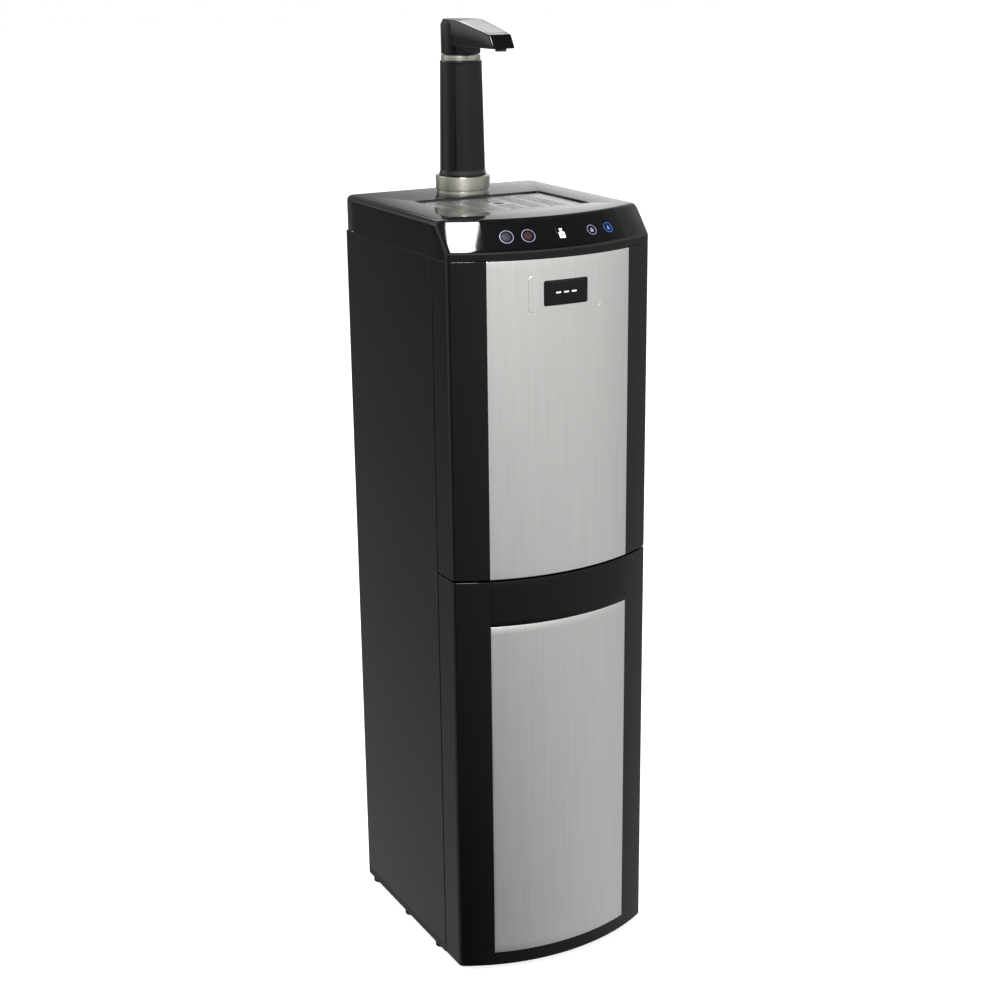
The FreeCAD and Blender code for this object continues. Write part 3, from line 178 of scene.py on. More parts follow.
FLOOR_HALF, FLOOR_TONE, FLOOR_LIFT = 30.0, .90, .75
sheet = bpy.data.meshes.new("studio_floor")
sheet.from_pydata([(x * FLOOR_HALF, y * FLOOR_HALF, 0) for x, y in ((-1, -1), (1, -1), (1, 1), (-1, 1))],
                  [], [(0, 1, 2, 3)])
floor = bpy.data.objects.new("studio_floor", sheet)
scene.collection.objects.link(floor)
floor.visible_glossy = False


def paint(name, colour, roughness, metallic=0.0, ior=1.45):
    """A material with its shader's constants set on the shader itself, with its node tree and its shader."""
    material = bpy.data.materials.new(name)
    material.use_nodes = True
    shader = material.node_tree.nodes["Principled BSDF"]
    for socket, value in (("Base Color", (*colour, 1)), ("Roughness", roughness), ("Metallic", metallic),
                          ("IOR", ior)):
        shader.inputs[socket].default_value = value
    return material, material.node_tree, shader


floor_paint, tree, shader = paint("floor_paint", (FLOOR_TONE,) * 3, .9)
shader.inputs["Emission Color"].default_value = (1, 1, 1, 1)
ray = wire(tree, "ShaderNodeLightPath")
lift = wire(tree, "ShaderNodeMath", {0: ray.outputs["Is Camera Ray"], 1: FLOOR_LIFT}, operation="MULTIPLY")
tree.links.new(lift.outputs[0], shader.inputs["Emission Strength"])
sheet.materials.append(floor_paint)

# ------------------------------------------------------------------ base plate and feet
# A moulded black base with a skirt that closes the cabinet's foot, on small rubber feet.
# The base is matt moulded plastic; the feet are soft black rubber pushed into it.


def noise_group():
    """Uneven surface: Object coordinates times a stretch go into a fine noise and a broad noise.
    Fine is the grain of the surface, Broad is slow unevenness such as handling and wiping marks."""
    group = bpy.data.node_groups.new("uneven_surface", "ShaderNodeTree")
    for name, kind, way in (("Stretch", "Vector", "INPUT"), ("Broad Scale", "Float", "INPUT"),
                            ("Detail", "Float", "INPUT"), ("Fine", "Float", "OUTPUT"),
                            ("Broad", "Float", "OUTPUT")):
        group.interface.new_socket(name=name, in_out=way, socket_type="NodeSocket" + kind)
    given = wire(group, "NodeGroupInput")
    place = wire(group, "ShaderNodeTexCoord").outputs["Object"]
    stretched = wire(group, "ShaderNodeVectorMath", {0: place, 1: given.outputs["Stretch"]},
                     operation="MULTIPLY")
    fine = wire(group, "ShaderNodeTexNoise", {"Vector": stretched.outputs[0], "Scale": 1.0,
                                              "Detail": given.outputs["Detail"]})
    broad = wire(group, "ShaderNodeTexNoise", {"Vector": place, "Scale": given.outputs["Broad Scale"],
                                               "Detail": 4.0, "Roughness": .6})
    wire(group, "NodeGroupOutput", {"Fine": fine.outputs["Fac"], "Broad": broad.outputs["Fac"]})
    return group


uneven = noise_group()
NOISE_SPAN, TONE_SPAN = (.3, .7), (.32, .68)
GRAIN_HEIGHT, GRAIN_DETAIL, GRAIN_SHARE = .0004, 3.0, .35


def finish(name, dark, light, low, high, stretch=(900, 900, 900), broad=9.0, bump=.03, **constants):
    """A material whose colour runs from dark to light and its roughness from low to high with the
    unevenness of its surface, and whose grain stands out by a bump. The colour's mix of broad and fine is
    broad times (1 - grain share) plus fine times the grain share."""
    material, tree, shader = paint(name, light, low, **constants)
    marks = wire(tree, "ShaderNodeGroup", {"Stretch": stretch, "Broad Scale": broad, "Detail": GRAIN_DETAIL},
                 node_tree=uneven)
    mixed = wire(tree, "ShaderNodeMix", {0: GRAIN_SHARE, 2: marks.outputs["Broad"],
                                          3: marks.outputs["Fine"]})
    tone = blend(tree, spread(tree, mixed.outputs[0], *TONE_SPAN), (*dark, 1), (*light, 1))
    tree.links.new(tone, shader.inputs["Base Color"])
    tree.links.new(spread(tree, marks.outputs["Broad"], *NOISE_SPAN, low, high), shader.inputs["Roughness"])
    if bump:
        raised = wire(tree, "ShaderNodeBump", {"Height": marks.outputs["Fine"], "Strength": bump,
                                               "Distance": GRAIN_HEIGHT})
        tree.links.new(raised.outputs[0], shader.inputs["Normal"])
    return material


body_of = {node: body for body, members in frame["record"]["behaviour"]["bodies"].items() for node in members}


def added(piece, material, node):
    """Gives a finished piece its material and fixes it to the body of the node that carries it."""
    piece.data.materials.clear()
    piece.data.materials.append(material)
    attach(piece, body_of[node])


def fixed(piece, material, node):
    """Adds a finished piece that stands for a node of the design."""
    added(piece, material, node)
    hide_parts(node)


SHARP = 32
DOUBLES, FLAT_ANGLE = 2e-6, .6


def shaded(mesh, sharp=SHARP):
    """Smooth shading, broken where two faces meet at more than the sharp angle in degrees."""
    mesh.shade_smooth()
    mesh.set_sharp_from_angle(angle=math.radians(sharp))


def softened(node, material, radius, steps=2):
    """A copy of a node's solid with its doubles merged, its flats dissolved and its edges rounded to the
    radius, in metres. The design's flat facets become smooth faces with small radii between them."""
    mesh = nodes[node].data.copy()
    shape = bmesh.new()
    shape.from_mesh(mesh)
    bmesh.ops.remove_doubles(shape, verts=shape.verts, dist=DOUBLES)
    bmesh.ops.dissolve_limit(shape, angle_limit=math.radians(FLAT_ANGLE), verts=shape.verts,
                             edges=shape.edges)
    shape.to_mesh(mesh)
    shape.free()
    piece = bpy.data.objects.new(node + "_finished", mesh)
    scene.collection.objects.link(piece)
    if radius:
        rounding = piece.modifiers.new("edge_rounding", "BEVEL")
        rounding.width = radius
        rounding.segments = steps
        rounding.limit_method = "ANGLE"
        rounding.angle_limit = math.radians(SHARP)
        rounding.use_clamp_overlap = True
        rounding.harden_normals = False
    shaded(mesh)
    fixed(piece, material, node)


def smoothed(names, material, radius=0):
    """Gives several nodes softened copies of one material."""
    for name in names.split():
        softened(name, material, radius)


matt_black = finish("matt_black_moulding", (.006, .006, .0065), (.013, .013, .014), .46, .60, bump=.25,
                    broad=14)
rubber = finish("black_rubber", (.008, .008, .008), (.016, .016, .016), .72, .86, bump=.4,
                stretch=(1400,) * 3)
softened("base_plate", matt_black, .0008)
softened("feet", rubber, .0012)
smoothed("compressor_grommets", rubber, .0004)

# ------------------------------------------------------------------ side panels
# Two folded sheet steel sides, powder painted gloss black with a faint orange peel.
# Their front and rear edges are bent in round the frame, and the paint rounds the bends.
painted_black = finish("gloss_painted_steel", (.0020, .0018, .0021), (.0030, .0028, .0031), .085, .13,
                       stretch=(260, 260, 260), bump=.02, broad=5, ior=1.42)
for panel in ("left_side_panel", "right_side_panel"):
    softened(panel, painted_black, .0011, steps=4)

# ------------------------------------------------------------------ rear panel
# The rear is one painted steel sheet with two rows of punched slots, held by screws.
# The mains inlet is a moulded black socket pushed into the sheet, and the condenser stands on brackets.
rear_black = finish("satin_painted_steel", (.010, .010, .0105), (.015, .015, .016), .34, .44,
                    stretch=(700, 700, 700), bump=.12, broad=7)
zinc = finish("zinc_plated_steel", (.36, .37, .38), (.62, .63, .64), .24, .40, stretch=(500, 500, 500),
              broad=60, metallic=1.0, bump=.05)
softened("rear_panel", rear_black, .0004)
softened("rear_screws", zinc, .0003)
softened("power_inlet", matt_black, .0006)
smoothed("drain_plug condenser_brackets", matt_black, .0004)

# ------------------------------------------------------------------ bay lining and middle deck
# The bottle bay is lined with vacuum-formed grey sheet; the deck over it is folded zinc-plated steel.
grey_liner = finish("grey_bay_lining", (.30, .31, .32), (.40, .41, .42), .42, .55, bump=.12, broad=8)
smoothed("bay_liner door_liner", grey_liner, .0006)
smoothed("mid_deck", zinc, .0003)

# ------------------------------------------------------------------ upper fascia
# A gloss black moulding that bows forward between two upright pillars. Its face is set back a little
# between them, as a seat for the stainless panel.
gloss_black = finish("gloss_black_moulding", (.0014, .0015, .0015), (.0022, .0023, .0023), .04, .07,
                     stretch=(120, 120, 120), bump=.006, broad=6, ior=1.42)

HALF, BOW, BOW_PLACE = .155, .31349, .13199
CORNER, RETURN_END = .009, -.095
WALL, SEAT_HALF, SEAT_DEPTH = .003, .1092, .0012
ARC_STEPS, BOW_STEPS, CLOSE = 9, 41, 1e-5
FOOT_ROUND, HEAD_ROUND, FACE_MARGIN = .0012, .0009, .0015


def piece_from(name, points, faces, sharp=SHARP):
    """A new piece from points and faces, with smooth shading broken at sharp edges."""
    mesh = bpy.data.meshes.new(name)
    mesh.from_pydata(points, [], faces)
    mesh.validate()
    shaded(mesh, sharp)
    piece = bpy.data.objects.new(name, mesh)
    scene.collection.objects.link(piece)
    return piece


def tube_faces(rows, columns, first=0):
    """Faces of a grid whose columns close round, with its first and last row closed by one face each."""
    row, column = np.meshgrid(np.arange(rows - 1), np.arange(columns), indexing="ij")
    here, along = row * columns + column, row * columns + (column + 1) % columns
    quads = np.stack([here, along, along + columns, here + columns], -1).reshape(-1, 4) + first
    ends = [np.arange(columns)[::-1] + first, np.arange(columns) + (rows - 1) * columns + first]
    return quads.tolist() + [end.tolist() for end in ends]


def outward(mesh, merge=0.0):
    """Turns a mesh's faces to look away from its inside, after merging points that are closer than merge."""
    shape = bmesh.new()
    shape.from_mesh(mesh)
    if merge:
        bmesh.ops.remove_doubles(shape, verts=shape.verts, dist=merge)
    bmesh.ops.recalc_face_normals(shape, faces=shape.faces)
    shape.to_mesh(mesh)
    shape.free()


def closed_skin(name, grids, sharp=SHARP):
    """One piece from one or more grids of points, each rows by columns by 3, closed round their columns
    and at both ends. The faces look away from the inside of the grid."""
    points, faces = [], []
    for grid in grids:
        faces += tube_faces(grid.shape[0], grid.shape[1], sum(len(block) for block in points))
        points.append(grid.reshape(-1, 3))
    piece = piece_from(name, np.concatenate(points).tolist(), faces, sharp)
    outward(piece.data, merge=1e-7)
    shaded(piece.data, sharp)
    return piece


def rounded(corners, steps=5):
    """A closed outline from corners (a, b, radius): each corner is an arc tangent to both its sides, whose
    centre lies on the line that halves the corner, at the radius over the sine of half its angle."""
    corners = np.array(corners, float)
    outline = []
    for here, before, after in zip(corners, np.roll(corners, 1, 0), np.roll(corners, -1, 0)):
        to_before, to_after = before[:2] - here[:2], after[:2] - here[:2]
        to_before, to_after = to_before / np.linalg.norm(to_before), to_after / np.linalg.norm(to_after)
        half = math.acos(max(-1.0, min(1.0, float(to_before @ to_after)))) / 2
        if here[2] <= 0 or half > math.pi / 2 - 1e-3:
            outline.append(here[None, :2])
            continue
        middle = to_before + to_after
        centre = here[:2] + middle / np.linalg.norm(middle) * here[2] / math.sin(half)
        start = here[:2] + to_before * here[2] / math.tan(half) - centre
        end = here[:2] + to_after * here[2] / math.tan(half) - centre
        share = np.linspace(0, 1, steps + 1)[:, None]
        turn = math.pi - 2 * half
        swept = np.sin((1 - share) * turn) * start + np.sin(share * turn) * end
        outline.append(centre + swept / math.sin(turn))
    return np.concatenate(outline)


def corner_turn(radius, corner, half):
    """The bearing of the point where a corner arc between the bow and a side touches the bow."""
    across, reach = half - corner, radius - corner
    return math.asin(across / reach)


def front_plan(x_stops):
    """The plan of the front at no inset: side return, corner arc, bow, corner arc, side return.
    Gives points and outward normals; the bow has a point at each x in x_stops."""
    limit = corner_turn(BOW, CORNER, HALF)
    swing = np.arcsin(np.array(x_stops) / BOW)
    centre_y = BOW_PLACE - (BOW - CORNER) * math.cos(limit)
    round_turns = np.linspace(math.pi / 2, limit, ARC_STEPS)[:-1]
    left_arc = np.stack([-(HALF - CORNER) - CORNER * np.sin(round_turns),
                         centre_y - CORNER * np.cos(round_turns)], 1)
    left_normal = np.stack([-np.sin(round_turns), -np.cos(round_turns)], 1)
    bow = np.stack([BOW * np.sin(swing), BOW_PLACE - BOW * np.cos(swing)], 1)
    bow_normal = np.stack([np.sin(swing), -np.cos(swing)], 1)
    side = np.array([[-HALF, RETURN_END], [-HALF, centre_y + .0005]])
    side_normal = np.array([[-1.0, 0.0], [-1.0, 0.0]])
    mirror = np.array([-1.0, 1.0])
    points = np.concatenate([side, left_arc, bow, left_arc[::-1] * mirror, side[::-1] * mirror])
    normals = np.concatenate([side_normal, left_normal, bow_normal, left_normal[::-1] * mirror,
                              side_normal[::-1] * mirror])
    return points, normals


def bow_stops(edges):
    """Places across the bow from corner to corner, with a close pair at each edge on both sides."""
    limit = math.sin(corner_turn(BOW, CORNER, HALF)) * BOW
    even = np.linspace(-limit, limit, BOW_STEPS)
    pairs = np.array([sign * edge + shift for edge in edges for sign in (-1, 1) for shift in (-CLOSE, CLOSE)])
    return np.unique(np.concatenate([even, pairs]))


def front_shell(name, low, high, seat_low, seat_high):
    """The front moulding as a loft: its section is a wall with rounded outer edges, drawn as (inset, height)
    and carried along the plan. Under the panels the face is set back by the depth of the seat. Two flat
    plates close its top and foot."""
    points, normals = front_plan(bow_stops([SEAT_HALF]))
    face = rounded([(0, low, FOOT_ROUND), (0, high, HEAD_ROUND), (WALL, high, 0), (WALL, low, 0)], 4)
    rise = [low + FACE_MARGIN, seat_low - CLOSE, seat_low + CLOSE, seat_high - CLOSE, seat_high + CLOSE,
            high - FACE_MARGIN]
    rise = [z for z in rise if low + .0014 < z < high - .0008]
    cut = int(np.argmax(face[:, 1] > (low + high) / 2))
    section = np.concatenate([face[:cut], [(0, z) for z in sorted(rise)], face[cut:]])
    across = np.abs(points[:, 0]) < SEAT_HALF
    seated = across[:, None] & (section[:, 1] > seat_low)[None] & (section[:, 1] < seat_high)[None]
    outer = section[:, 0] < WALL * .5
    inset = section[None, :, 0] + SEAT_DEPTH * (seated & outer[None])
    place = points[:, None, :] - normals[:, None, :] * inset[..., None]
    grid = np.concatenate([place, np.broadcast_to(section[None, :, 1:], inset.shape + (1,))], -1)
    inner = points - normals * (WALL * .9)
    plates = []
    for foot in (low + .0004, high - WALL):
        edge = np.stack([np.concatenate([inner, np.full((len(inner), 1), foot + lift)], 1)
                         for lift in (0, WALL - .0008)])
        plates.append(edge)
    return closed_skin(name, [grid, *plates])


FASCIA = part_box("upper_fascia")
STEEL_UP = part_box("upper_steel_panel")
fascia = front_shell("upper_fascia_shell", FASCIA[0].z, FASCIA[1].z, FASCIA[0].z + .0001,
                     FASCIA[1].z - .0002)
fixed(fascia, gloss_black, "upper_fascia")

# ------------------------------------------------------------------ stainless panels
# Thin brushed stainless sheets bent to the bow of the front. The brushing runs upright, and the upper
# sheet has a thin engraved outline round a dark window.


def brushed_group():
    """Upright brushing: two noises of Object coordinates, both far finer across the sheet than along it.
    Streak is the tone of each brush line; Lines is the height of the scratches."""
    group = bpy.data.node_groups.new("upright_brushing", "ShaderNodeTree")
    for name, way in (("Fineness", "INPUT"), ("Streak", "OUTPUT"), ("Lines", "OUTPUT")):
        group.interface.new_socket(name=name, in_out=way, socket_type="NodeSocketFloat")
    given = wire(group, "NodeGroupInput")
    place = wire(group, "ShaderNodeTexCoord").outputs["Object"]
    outputs = []
    for stretch, detail in (((1.0, 1.0, .012), 6.0), ((2.6, 2.6, .03), 3.0)):
        along = wire(group, "ShaderNodeVectorMath", {0: place, 1: stretch}, operation="MULTIPLY")
        noise = wire(group, "ShaderNodeTexNoise", {"Vector": along.outputs[0], "Detail": detail,
                                                   "Scale": given.outputs["Fineness"], "Roughness": .65})
        outputs.append(noise.outputs["Fac"])
    wire(group, "NodeGroupOutput", {"Streak": outputs[0], "Lines": outputs[1]})
    return group


brushing = brushed_group()
SCRATCH_HEIGHT = .0002


def brushed(name, dark, light, low, high, fineness=420.0, bump=.05, **constants):
    """Brushed metal: tone and roughness follow the streaks, and the scratches stand out by a bump."""
    material, tree, shader = paint(name, light, low, metallic=1.0, **constants)
    lines = wire(tree, "ShaderNodeGroup", {"Fineness": fineness}, node_tree=brushing)
    tone = blend(tree, spread(tree, lines.outputs["Streak"], *NOISE_SPAN), (*dark, 1), (*light, 1))
    rough = spread(tree, lines.outputs["Lines"], *NOISE_SPAN, low, high)
    raised = wire(tree, "ShaderNodeBump", {"Height": lines.outputs["Lines"], "Strength": bump,
                                           "Distance": SCRATCH_HEIGHT})
    for output, socket in ((tone, "Base Color"), (rough, "Roughness"), (raised.outputs[0], "Normal")):
        tree.links.new(output, shader.inputs[socket])
    return material


steel = brushed("brushed_stainless", (.78, .775, .755), (.86, .855, .835), .30, .40, bump=.04)


def slab_on_bow(name, x_stops, z_stops, sink, thick, edge):
    """A bent sheet: a grid over places across and heights. Its face lies on the bow, sunk by sink(x, z) and
    rounded at the border by an arc of the edge radius; its back is the same grid moved in by thick."""
    x, z = np.meshgrid(x_stops, z_stops, indexing="ij")
    border = np.minimum.reduce([x - x.min(), x.max() - x, z - z.min(), z.max() - z])
    fall = edge - np.sqrt(np.maximum(edge ** 2 - np.maximum(edge - border, 0) ** 2, 0))
    grids = []
    for inset in (sink(x, z) + fall, sink(x, z) + thick):
        grids.append(np.stack([x, BOW_PLACE - np.sqrt((BOW - inset) ** 2 - x ** 2), z], -1).reshape(-1, 3))
    across, up = len(x_stops), len(z_stops)
    column, row = np.meshgrid(np.arange(across - 1), np.arange(up - 1), indexing="ij")
    here = column * up + row
    front = np.stack([here, here + up, here + up + 1, here + 1], -1).reshape(-1, 4)
    back = front[:, ::-1] + across * up
    rim = np.concatenate([np.arange(across) * up, (across - 1) * up + np.arange(1, up),
                          (np.arange(across - 1)[::-1]) * up + up - 1, np.arange(1, up - 1)[::-1]])
    ahead = np.roll(rim, -1)
    walls = np.stack([ahead, rim, rim + across * up, ahead + across * up], -1)
    faces = np.concatenate([front, back, walls]).tolist()
    return piece_from(name, np.concatenate(grids).tolist(), faces, 40)


def rim_distance(x, z, half_width, half_height, centre, corner):
    """Signed distance to the outline of an upright rounded rectangle: below zero inside it."""
    out_x = np.abs(x) - (half_width - corner)
    out_z = np.abs(z - centre) - (half_height - corner)
    beyond = np.hypot(np.maximum(out_x, 0), np.maximum(out_z, 0))
    return beyond + np.minimum(np.maximum(out_x, out_z), 0) - corner


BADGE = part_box("badge_window")
BADGE_PLACE = (BADGE[0].z + BADGE[1].z) / 2
BADGE_HALF, BADGE_RISE = BADGE[1].x, (BADGE[1].z - BADGE[0].z) / 2
OUTLINE_HALF, OUTLINE_RISE, LINE_HALF, LINE_DEPTH = .055, .025, .00055, .0004


def upper_sink(x, z):
    """The pocket of the window, and the engraved outline round it as a shallow rounded groove."""
    pocket = rim_distance(x, z, BADGE_HALF + .0004, BADGE_RISE + .0004, BADGE_PLACE, .0034)
    line = np.abs(rim_distance(x, z, OUTLINE_HALF, OUTLINE_RISE, BADGE_PLACE, .006))
    return .0013 * (pocket < 0) + LINE_DEPTH * np.clip(1 - (line / LINE_HALF) ** 2, 0, 1) ** .5


def stops(low, high, count, *zones):
    """Places from low to high, evenly spread, with (start, end, step) zones of closer places."""
    even = np.linspace(low, high, count)
    close = [np.arange(start, end + step / 2, step) for start, end, step in zones]
    border = [low + .0001, low + .0003, low + .0006, high - .0006, high - .0003, high - .0001]
    return np.unique(np.round(np.concatenate([even, border, *close]), 7))


def both_sides(centre, start, end, step):
    """Two zones of close places, from start to end on both sides of a centre."""
    return [(centre - end, centre - start, step), (centre + start, centre + end, step)]


# The close places are where the engraved line runs, where its corners turn, and at the pocket's rim.
ACROSS_STEPS, UP_STEPS = 61, 45
low, high = STEEL_UP
x_stops = stops(low.x, high.x, ACROSS_STEPS,
                *both_sides(0, OUTLINE_HALF - .0014, OUTLINE_HALF + .0014, .00028),
                *both_sides(0, .0485, .0555, .0004), *both_sides(0, .0290, .0338, .0003))
z_stops = stops(low.z, high.z, UP_STEPS,
                *both_sides(BADGE_PLACE, OUTLINE_RISE - .0014, OUTLINE_RISE + .0014, .00028),
                *both_sides(BADGE_PLACE, .0185, .0255, .0004), *both_sides(BADGE_PLACE, .0125, .0173, .0003))
upper_steel = slab_on_bow("upper_steel_sheet", x_stops, z_stops, upper_sink, .0009, .0004)
fixed(upper_steel, steel, "upper_steel_panel")


def no_sink(x, z):
    """A plain sheet."""
    return np.zeros_like(x)


DOOR_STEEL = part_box("door_steel_panel")
low, high = DOOR_STEEL
door_steel = slab_on_bow("door_steel_sheet", stops(low.x, high.x, ACROSS_STEPS),
                         stops(low.z, high.z, UP_STEPS), no_sink, .0009, .0006)
fixed(door_steel, steel, "door_steel_panel")
glass_black = finish("window_black", (.0014, .0014, .0015), (.0020, .0020, .0021), .03, .05, bump=0,
                     ior=1.38)


def lens_on_bow(name, outline, centre, proud, thick, edge):
    """A flat-backed lens on the bow from a closed outline of (across, up) round its centre: rings of the
    outline shrink to the middle at the back and at the face, and the rim between them is an arc."""
    rows = [(.02, thick), (.5, thick), (1.0, thick), (1.0, edge * .01)]
    reach = np.abs(outline).max()
    rows += [(1 - (1 - math.cos(turn)) * edge / reach, edge * (1 - math.sin(turn)))
             for turn in np.linspace(0, math.pi / 2, 5)]
    rows += [(share, 0.0) for share in (.9, .7, .45, .2, .02)]
    grid = []
    for share, depth in rows:
        x, z = outline[:, 0] * share + centre[0], outline[:, 1] * share + centre[1]
        y = BOW_PLACE - np.sqrt((BOW + proud - depth) ** 2 - x ** 2)
        grid.append(np.stack([x, y, z], -1))
    return closed_skin(name, [np.array(grid)])


def lozenge(half_width, half_height, corner, steps=8):
    """The outline of an upright rounded rectangle round the origin."""
    return rounded([(-half_width, -half_height, corner), (half_width, -half_height, corner),
                    (half_width, half_height, corner), (-half_width, half_height, corner)], steps)


badge = lens_on_bow("badge_window_lens", lozenge(BADGE_HALF, BADGE_RISE, .003), (0, BADGE_PLACE), .0001,
                    .0025, .0005)
fixed(badge, glass_black, "badge_window")


def lit(name, colour, strength, dim=None, glow=None, unevenness=260.0, roughness=.4):
    """A printed symbol lit from behind: its tone is uneven from dim to colour, and its glow is even. Dim is
    seven tenths of the colour, and the glow is the colour itself, unless they are given."""
    material, tree, shader = paint(name, colour, roughness)
    marks = wire(tree, "ShaderNodeGroup", {"Broad Scale": unevenness}, node_tree=uneven)
    dim = dim or tuple(level * .7 for level in colour)
    tone = blend(tree, marks.outputs["Broad"], (*dim, 1), (*colour, 1))
    tree.links.new(tone, shader.inputs["Base Color"])
    shader.inputs["Emission Color"].default_value = (*(glow or colour), 1)
    shader.inputs["Emission Strength"].default_value = strength
    return material


lit_white = lit("lit_white", (.9, .94, 1), .9, dim=(.62, .68, .78), glow=(.85, .92, 1), unevenness=900.0,
                roughness=.35)
LIGHT_PITCH = .012
for number in range(3):
    light = lens_on_bow(f"status_light_{number + 1}", lozenge(.0036, .0009, .0008),
                        ((number - 1) * LIGHT_PITCH, BADGE_PLACE), .00025, .0004, .0001)
    added(light, lit_white, "badge_window")

# ------------------------------------------------------------------ top cover
# One gloss black moulding: upright round the foot, sloped at the front, rounded along its sides, and
# sunk in the middle for the drip tray. A seat in the slope takes the control panel.
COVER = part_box("top_cover")
COVER_FOOT, COVER_TOP, BACK = COVER[0].z, COVER[1].z, COVER[1].y
SLOPE_FOOT, SLOPE_BACK = COVER_TOP - .039, .030
SLOPE_LEAN = SLOPE_BACK / (COVER_TOP - SLOPE_FOOT)
PANEL_HALF, PANEL_LOW, PANEL_HIGH, SEAT_IN_SLOPE = .1043, COVER_TOP - .0361, COVER_TOP - .0029, .010
RECESS_HALF, RECESS_FRONT, RECESS_BACK, RECESS_DEPTH = .100, -.076, .068, .028
FRONT_COLUMNS, CORNER_COLUMNS, SIDE_COLUMNS, BACK_COLUMNS = 59, 7, 15, 21
REAR_CORNER, EDGE_ROUND, SIDE_ROUND, CREASE = .008, .003, .0078, .0022


def closed_behind(front, right, half, back, corner):
    """Closes a plan behind its front line and its right front corner: a straight side, a rounded rear
    corner, the straight back, and the mirror of all of them on the left."""
    turn = np.linspace(0, math.pi / 2, CORNER_COLUMNS)
    rear = np.stack([half - corner + corner * np.cos(turn), back - corner + corner * np.sin(turn)], 1)
    side_y = np.linspace(right[-1, 1], rear[0, 1], SIDE_COLUMNS)[1:-1]
    side = np.stack([np.full(len(side_y), half), side_y], 1)
    back_x = np.linspace(rear[-1, 0], -rear[-1, 0], BACK_COLUMNS)[1:-1]
    behind = np.stack([back_x, np.full(len(back_x), back)], 1)
    flip = np.array([-1.0, 1.0])
    return np.concatenate([front, right, side, rear, behind, (rear * flip)[::-1], (side * flip)[::-1],
                           (right * flip)[::-1]])


def level_plan(setback, side, rear, corner):
    """The plan of the cover at one level: bow moved back by setback, corner arcs, sides moved in by side,
    rounded rear corners and a straight back moved in by rear. Every level has the same columns."""
    radius, half, back = BOW - setback, HALF - side, BACK - rear
    limit = corner_turn(radius, corner, half)
    edge = radius * math.sin(limit)
    inner = np.linspace(-1, 1, FRONT_COLUMNS - 8) * PANEL_HALF
    outer = np.array([edge, (2 * edge + PANEL_HALF) / 3, (edge + 2 * PANEL_HALF) / 3, PANEL_HALF + 2e-5])
    x = np.concatenate([-outer, inner, outer[::-1]])
    front = np.stack([x, BOW_PLACE - np.sqrt(radius ** 2 - x ** 2)], 1)
    turn = np.linspace(limit, math.pi / 2, CORNER_COLUMNS)[1:]
    centre_y = BOW_PLACE - (radius - corner) * math.cos(limit)
    right = np.stack([half - corner + corner * np.sin(turn), centre_y - corner * np.cos(turn)], 1)
    return closed_behind(front, right, half, back, REAR_CORNER)


def recess_plan(out):
    """The rounded rectangle of the tray recess, moved outwards by out, with the columns of level_plan."""
    half, front, back, corner = RECESS_HALF + out, RECESS_FRONT - out, RECESS_BACK + out, .004 + max(out, 0)
    line = np.stack([np.linspace(-(half - corner), half - corner, FRONT_COLUMNS),
                     np.full(FRONT_COLUMNS, front)], 1)
    turn = np.linspace(0, math.pi / 2, CORNER_COLUMNS)[1:]
    right = np.stack([half - corner + corner * np.sin(turn), front + corner - corner * np.cos(turn)], 1)
    return closed_behind(line, right, half, back, corner)


def arc_fall(rise, radius):
    """How far a quarter-round edge has turned in at a height within its last radius."""
    return radius - np.sqrt(np.maximum(radius ** 2 - np.maximum(rise, 0) ** 2, 0))


def cover_level(z, wall):
    """One level of the cover's skin, moved in by the wall: the slope starts at its foot with a soft
    crease, and the top edges turn in by quarter rounds."""
    above = z - SLOPE_FOOT
    soft = np.where(np.abs(above) < CREASE, (above + CREASE) ** 2 / (4 * CREASE), np.maximum(above, 0))
    top = COVER_TOP - wall
    edge = arc_fall(z - (top - EDGE_ROUND), EDGE_ROUND)
    setback = float(soft) * SLOPE_LEAN + edge + wall * (1.26 if above > 0 else 1)
    side = arc_fall(z - (top - SIDE_ROUND), SIDE_ROUND) + wall
    rear = edge + wall
    plan = level_plan(setback, side, rear, max(CORNER - wall, .002))
    return at_height(plan, z)


def at_height(plan, z):
    """A plan lifted to a height."""
    return np.concatenate([plan, np.full((len(plan), 1), z)], 1)


climb = [COVER_FOOT + .0008, COVER_FOOT + .005, SLOPE_FOOT - CREASE, SLOPE_FOOT - .001, SLOPE_FOOT,
         SLOPE_FOOT + .001, SLOPE_FOOT + CREASE, PANEL_LOW - CLOSE, PANEL_LOW + CLOSE,
         *np.linspace(PANEL_LOW, PANEL_HIGH, 7)[1:-1], PANEL_HIGH - CLOSE, PANEL_HIGH + CLOSE]
climb += [COVER_TOP - SIDE_ROUND * (1 - math.sin(turn)) for turn in np.linspace(.2, math.pi / 2, 10)]
climb = sorted(set(climb))
outside = np.array([cover_level(z, 0.0) for z in climb])
inside = np.array([cover_level(min(z, COVER_TOP - WALL - CLOSE), WALL) for z in climb[:-1]])


def seated_in_slope(levels):
    """The slope's seat: points of the bow behind the control panel go back by the depth of the seat."""
    deep = (np.arange(levels.shape[1]) >= 4) & (np.arange(levels.shape[1]) < FRONT_COLUMNS - 4)
    within = deep[None] & (levels[..., 2] > PANEL_LOW) & (levels[..., 2] < PANEL_HIGH)
    moved = levels.copy()
    moved[..., 1] += SEAT_IN_SLOPE * within
    return moved


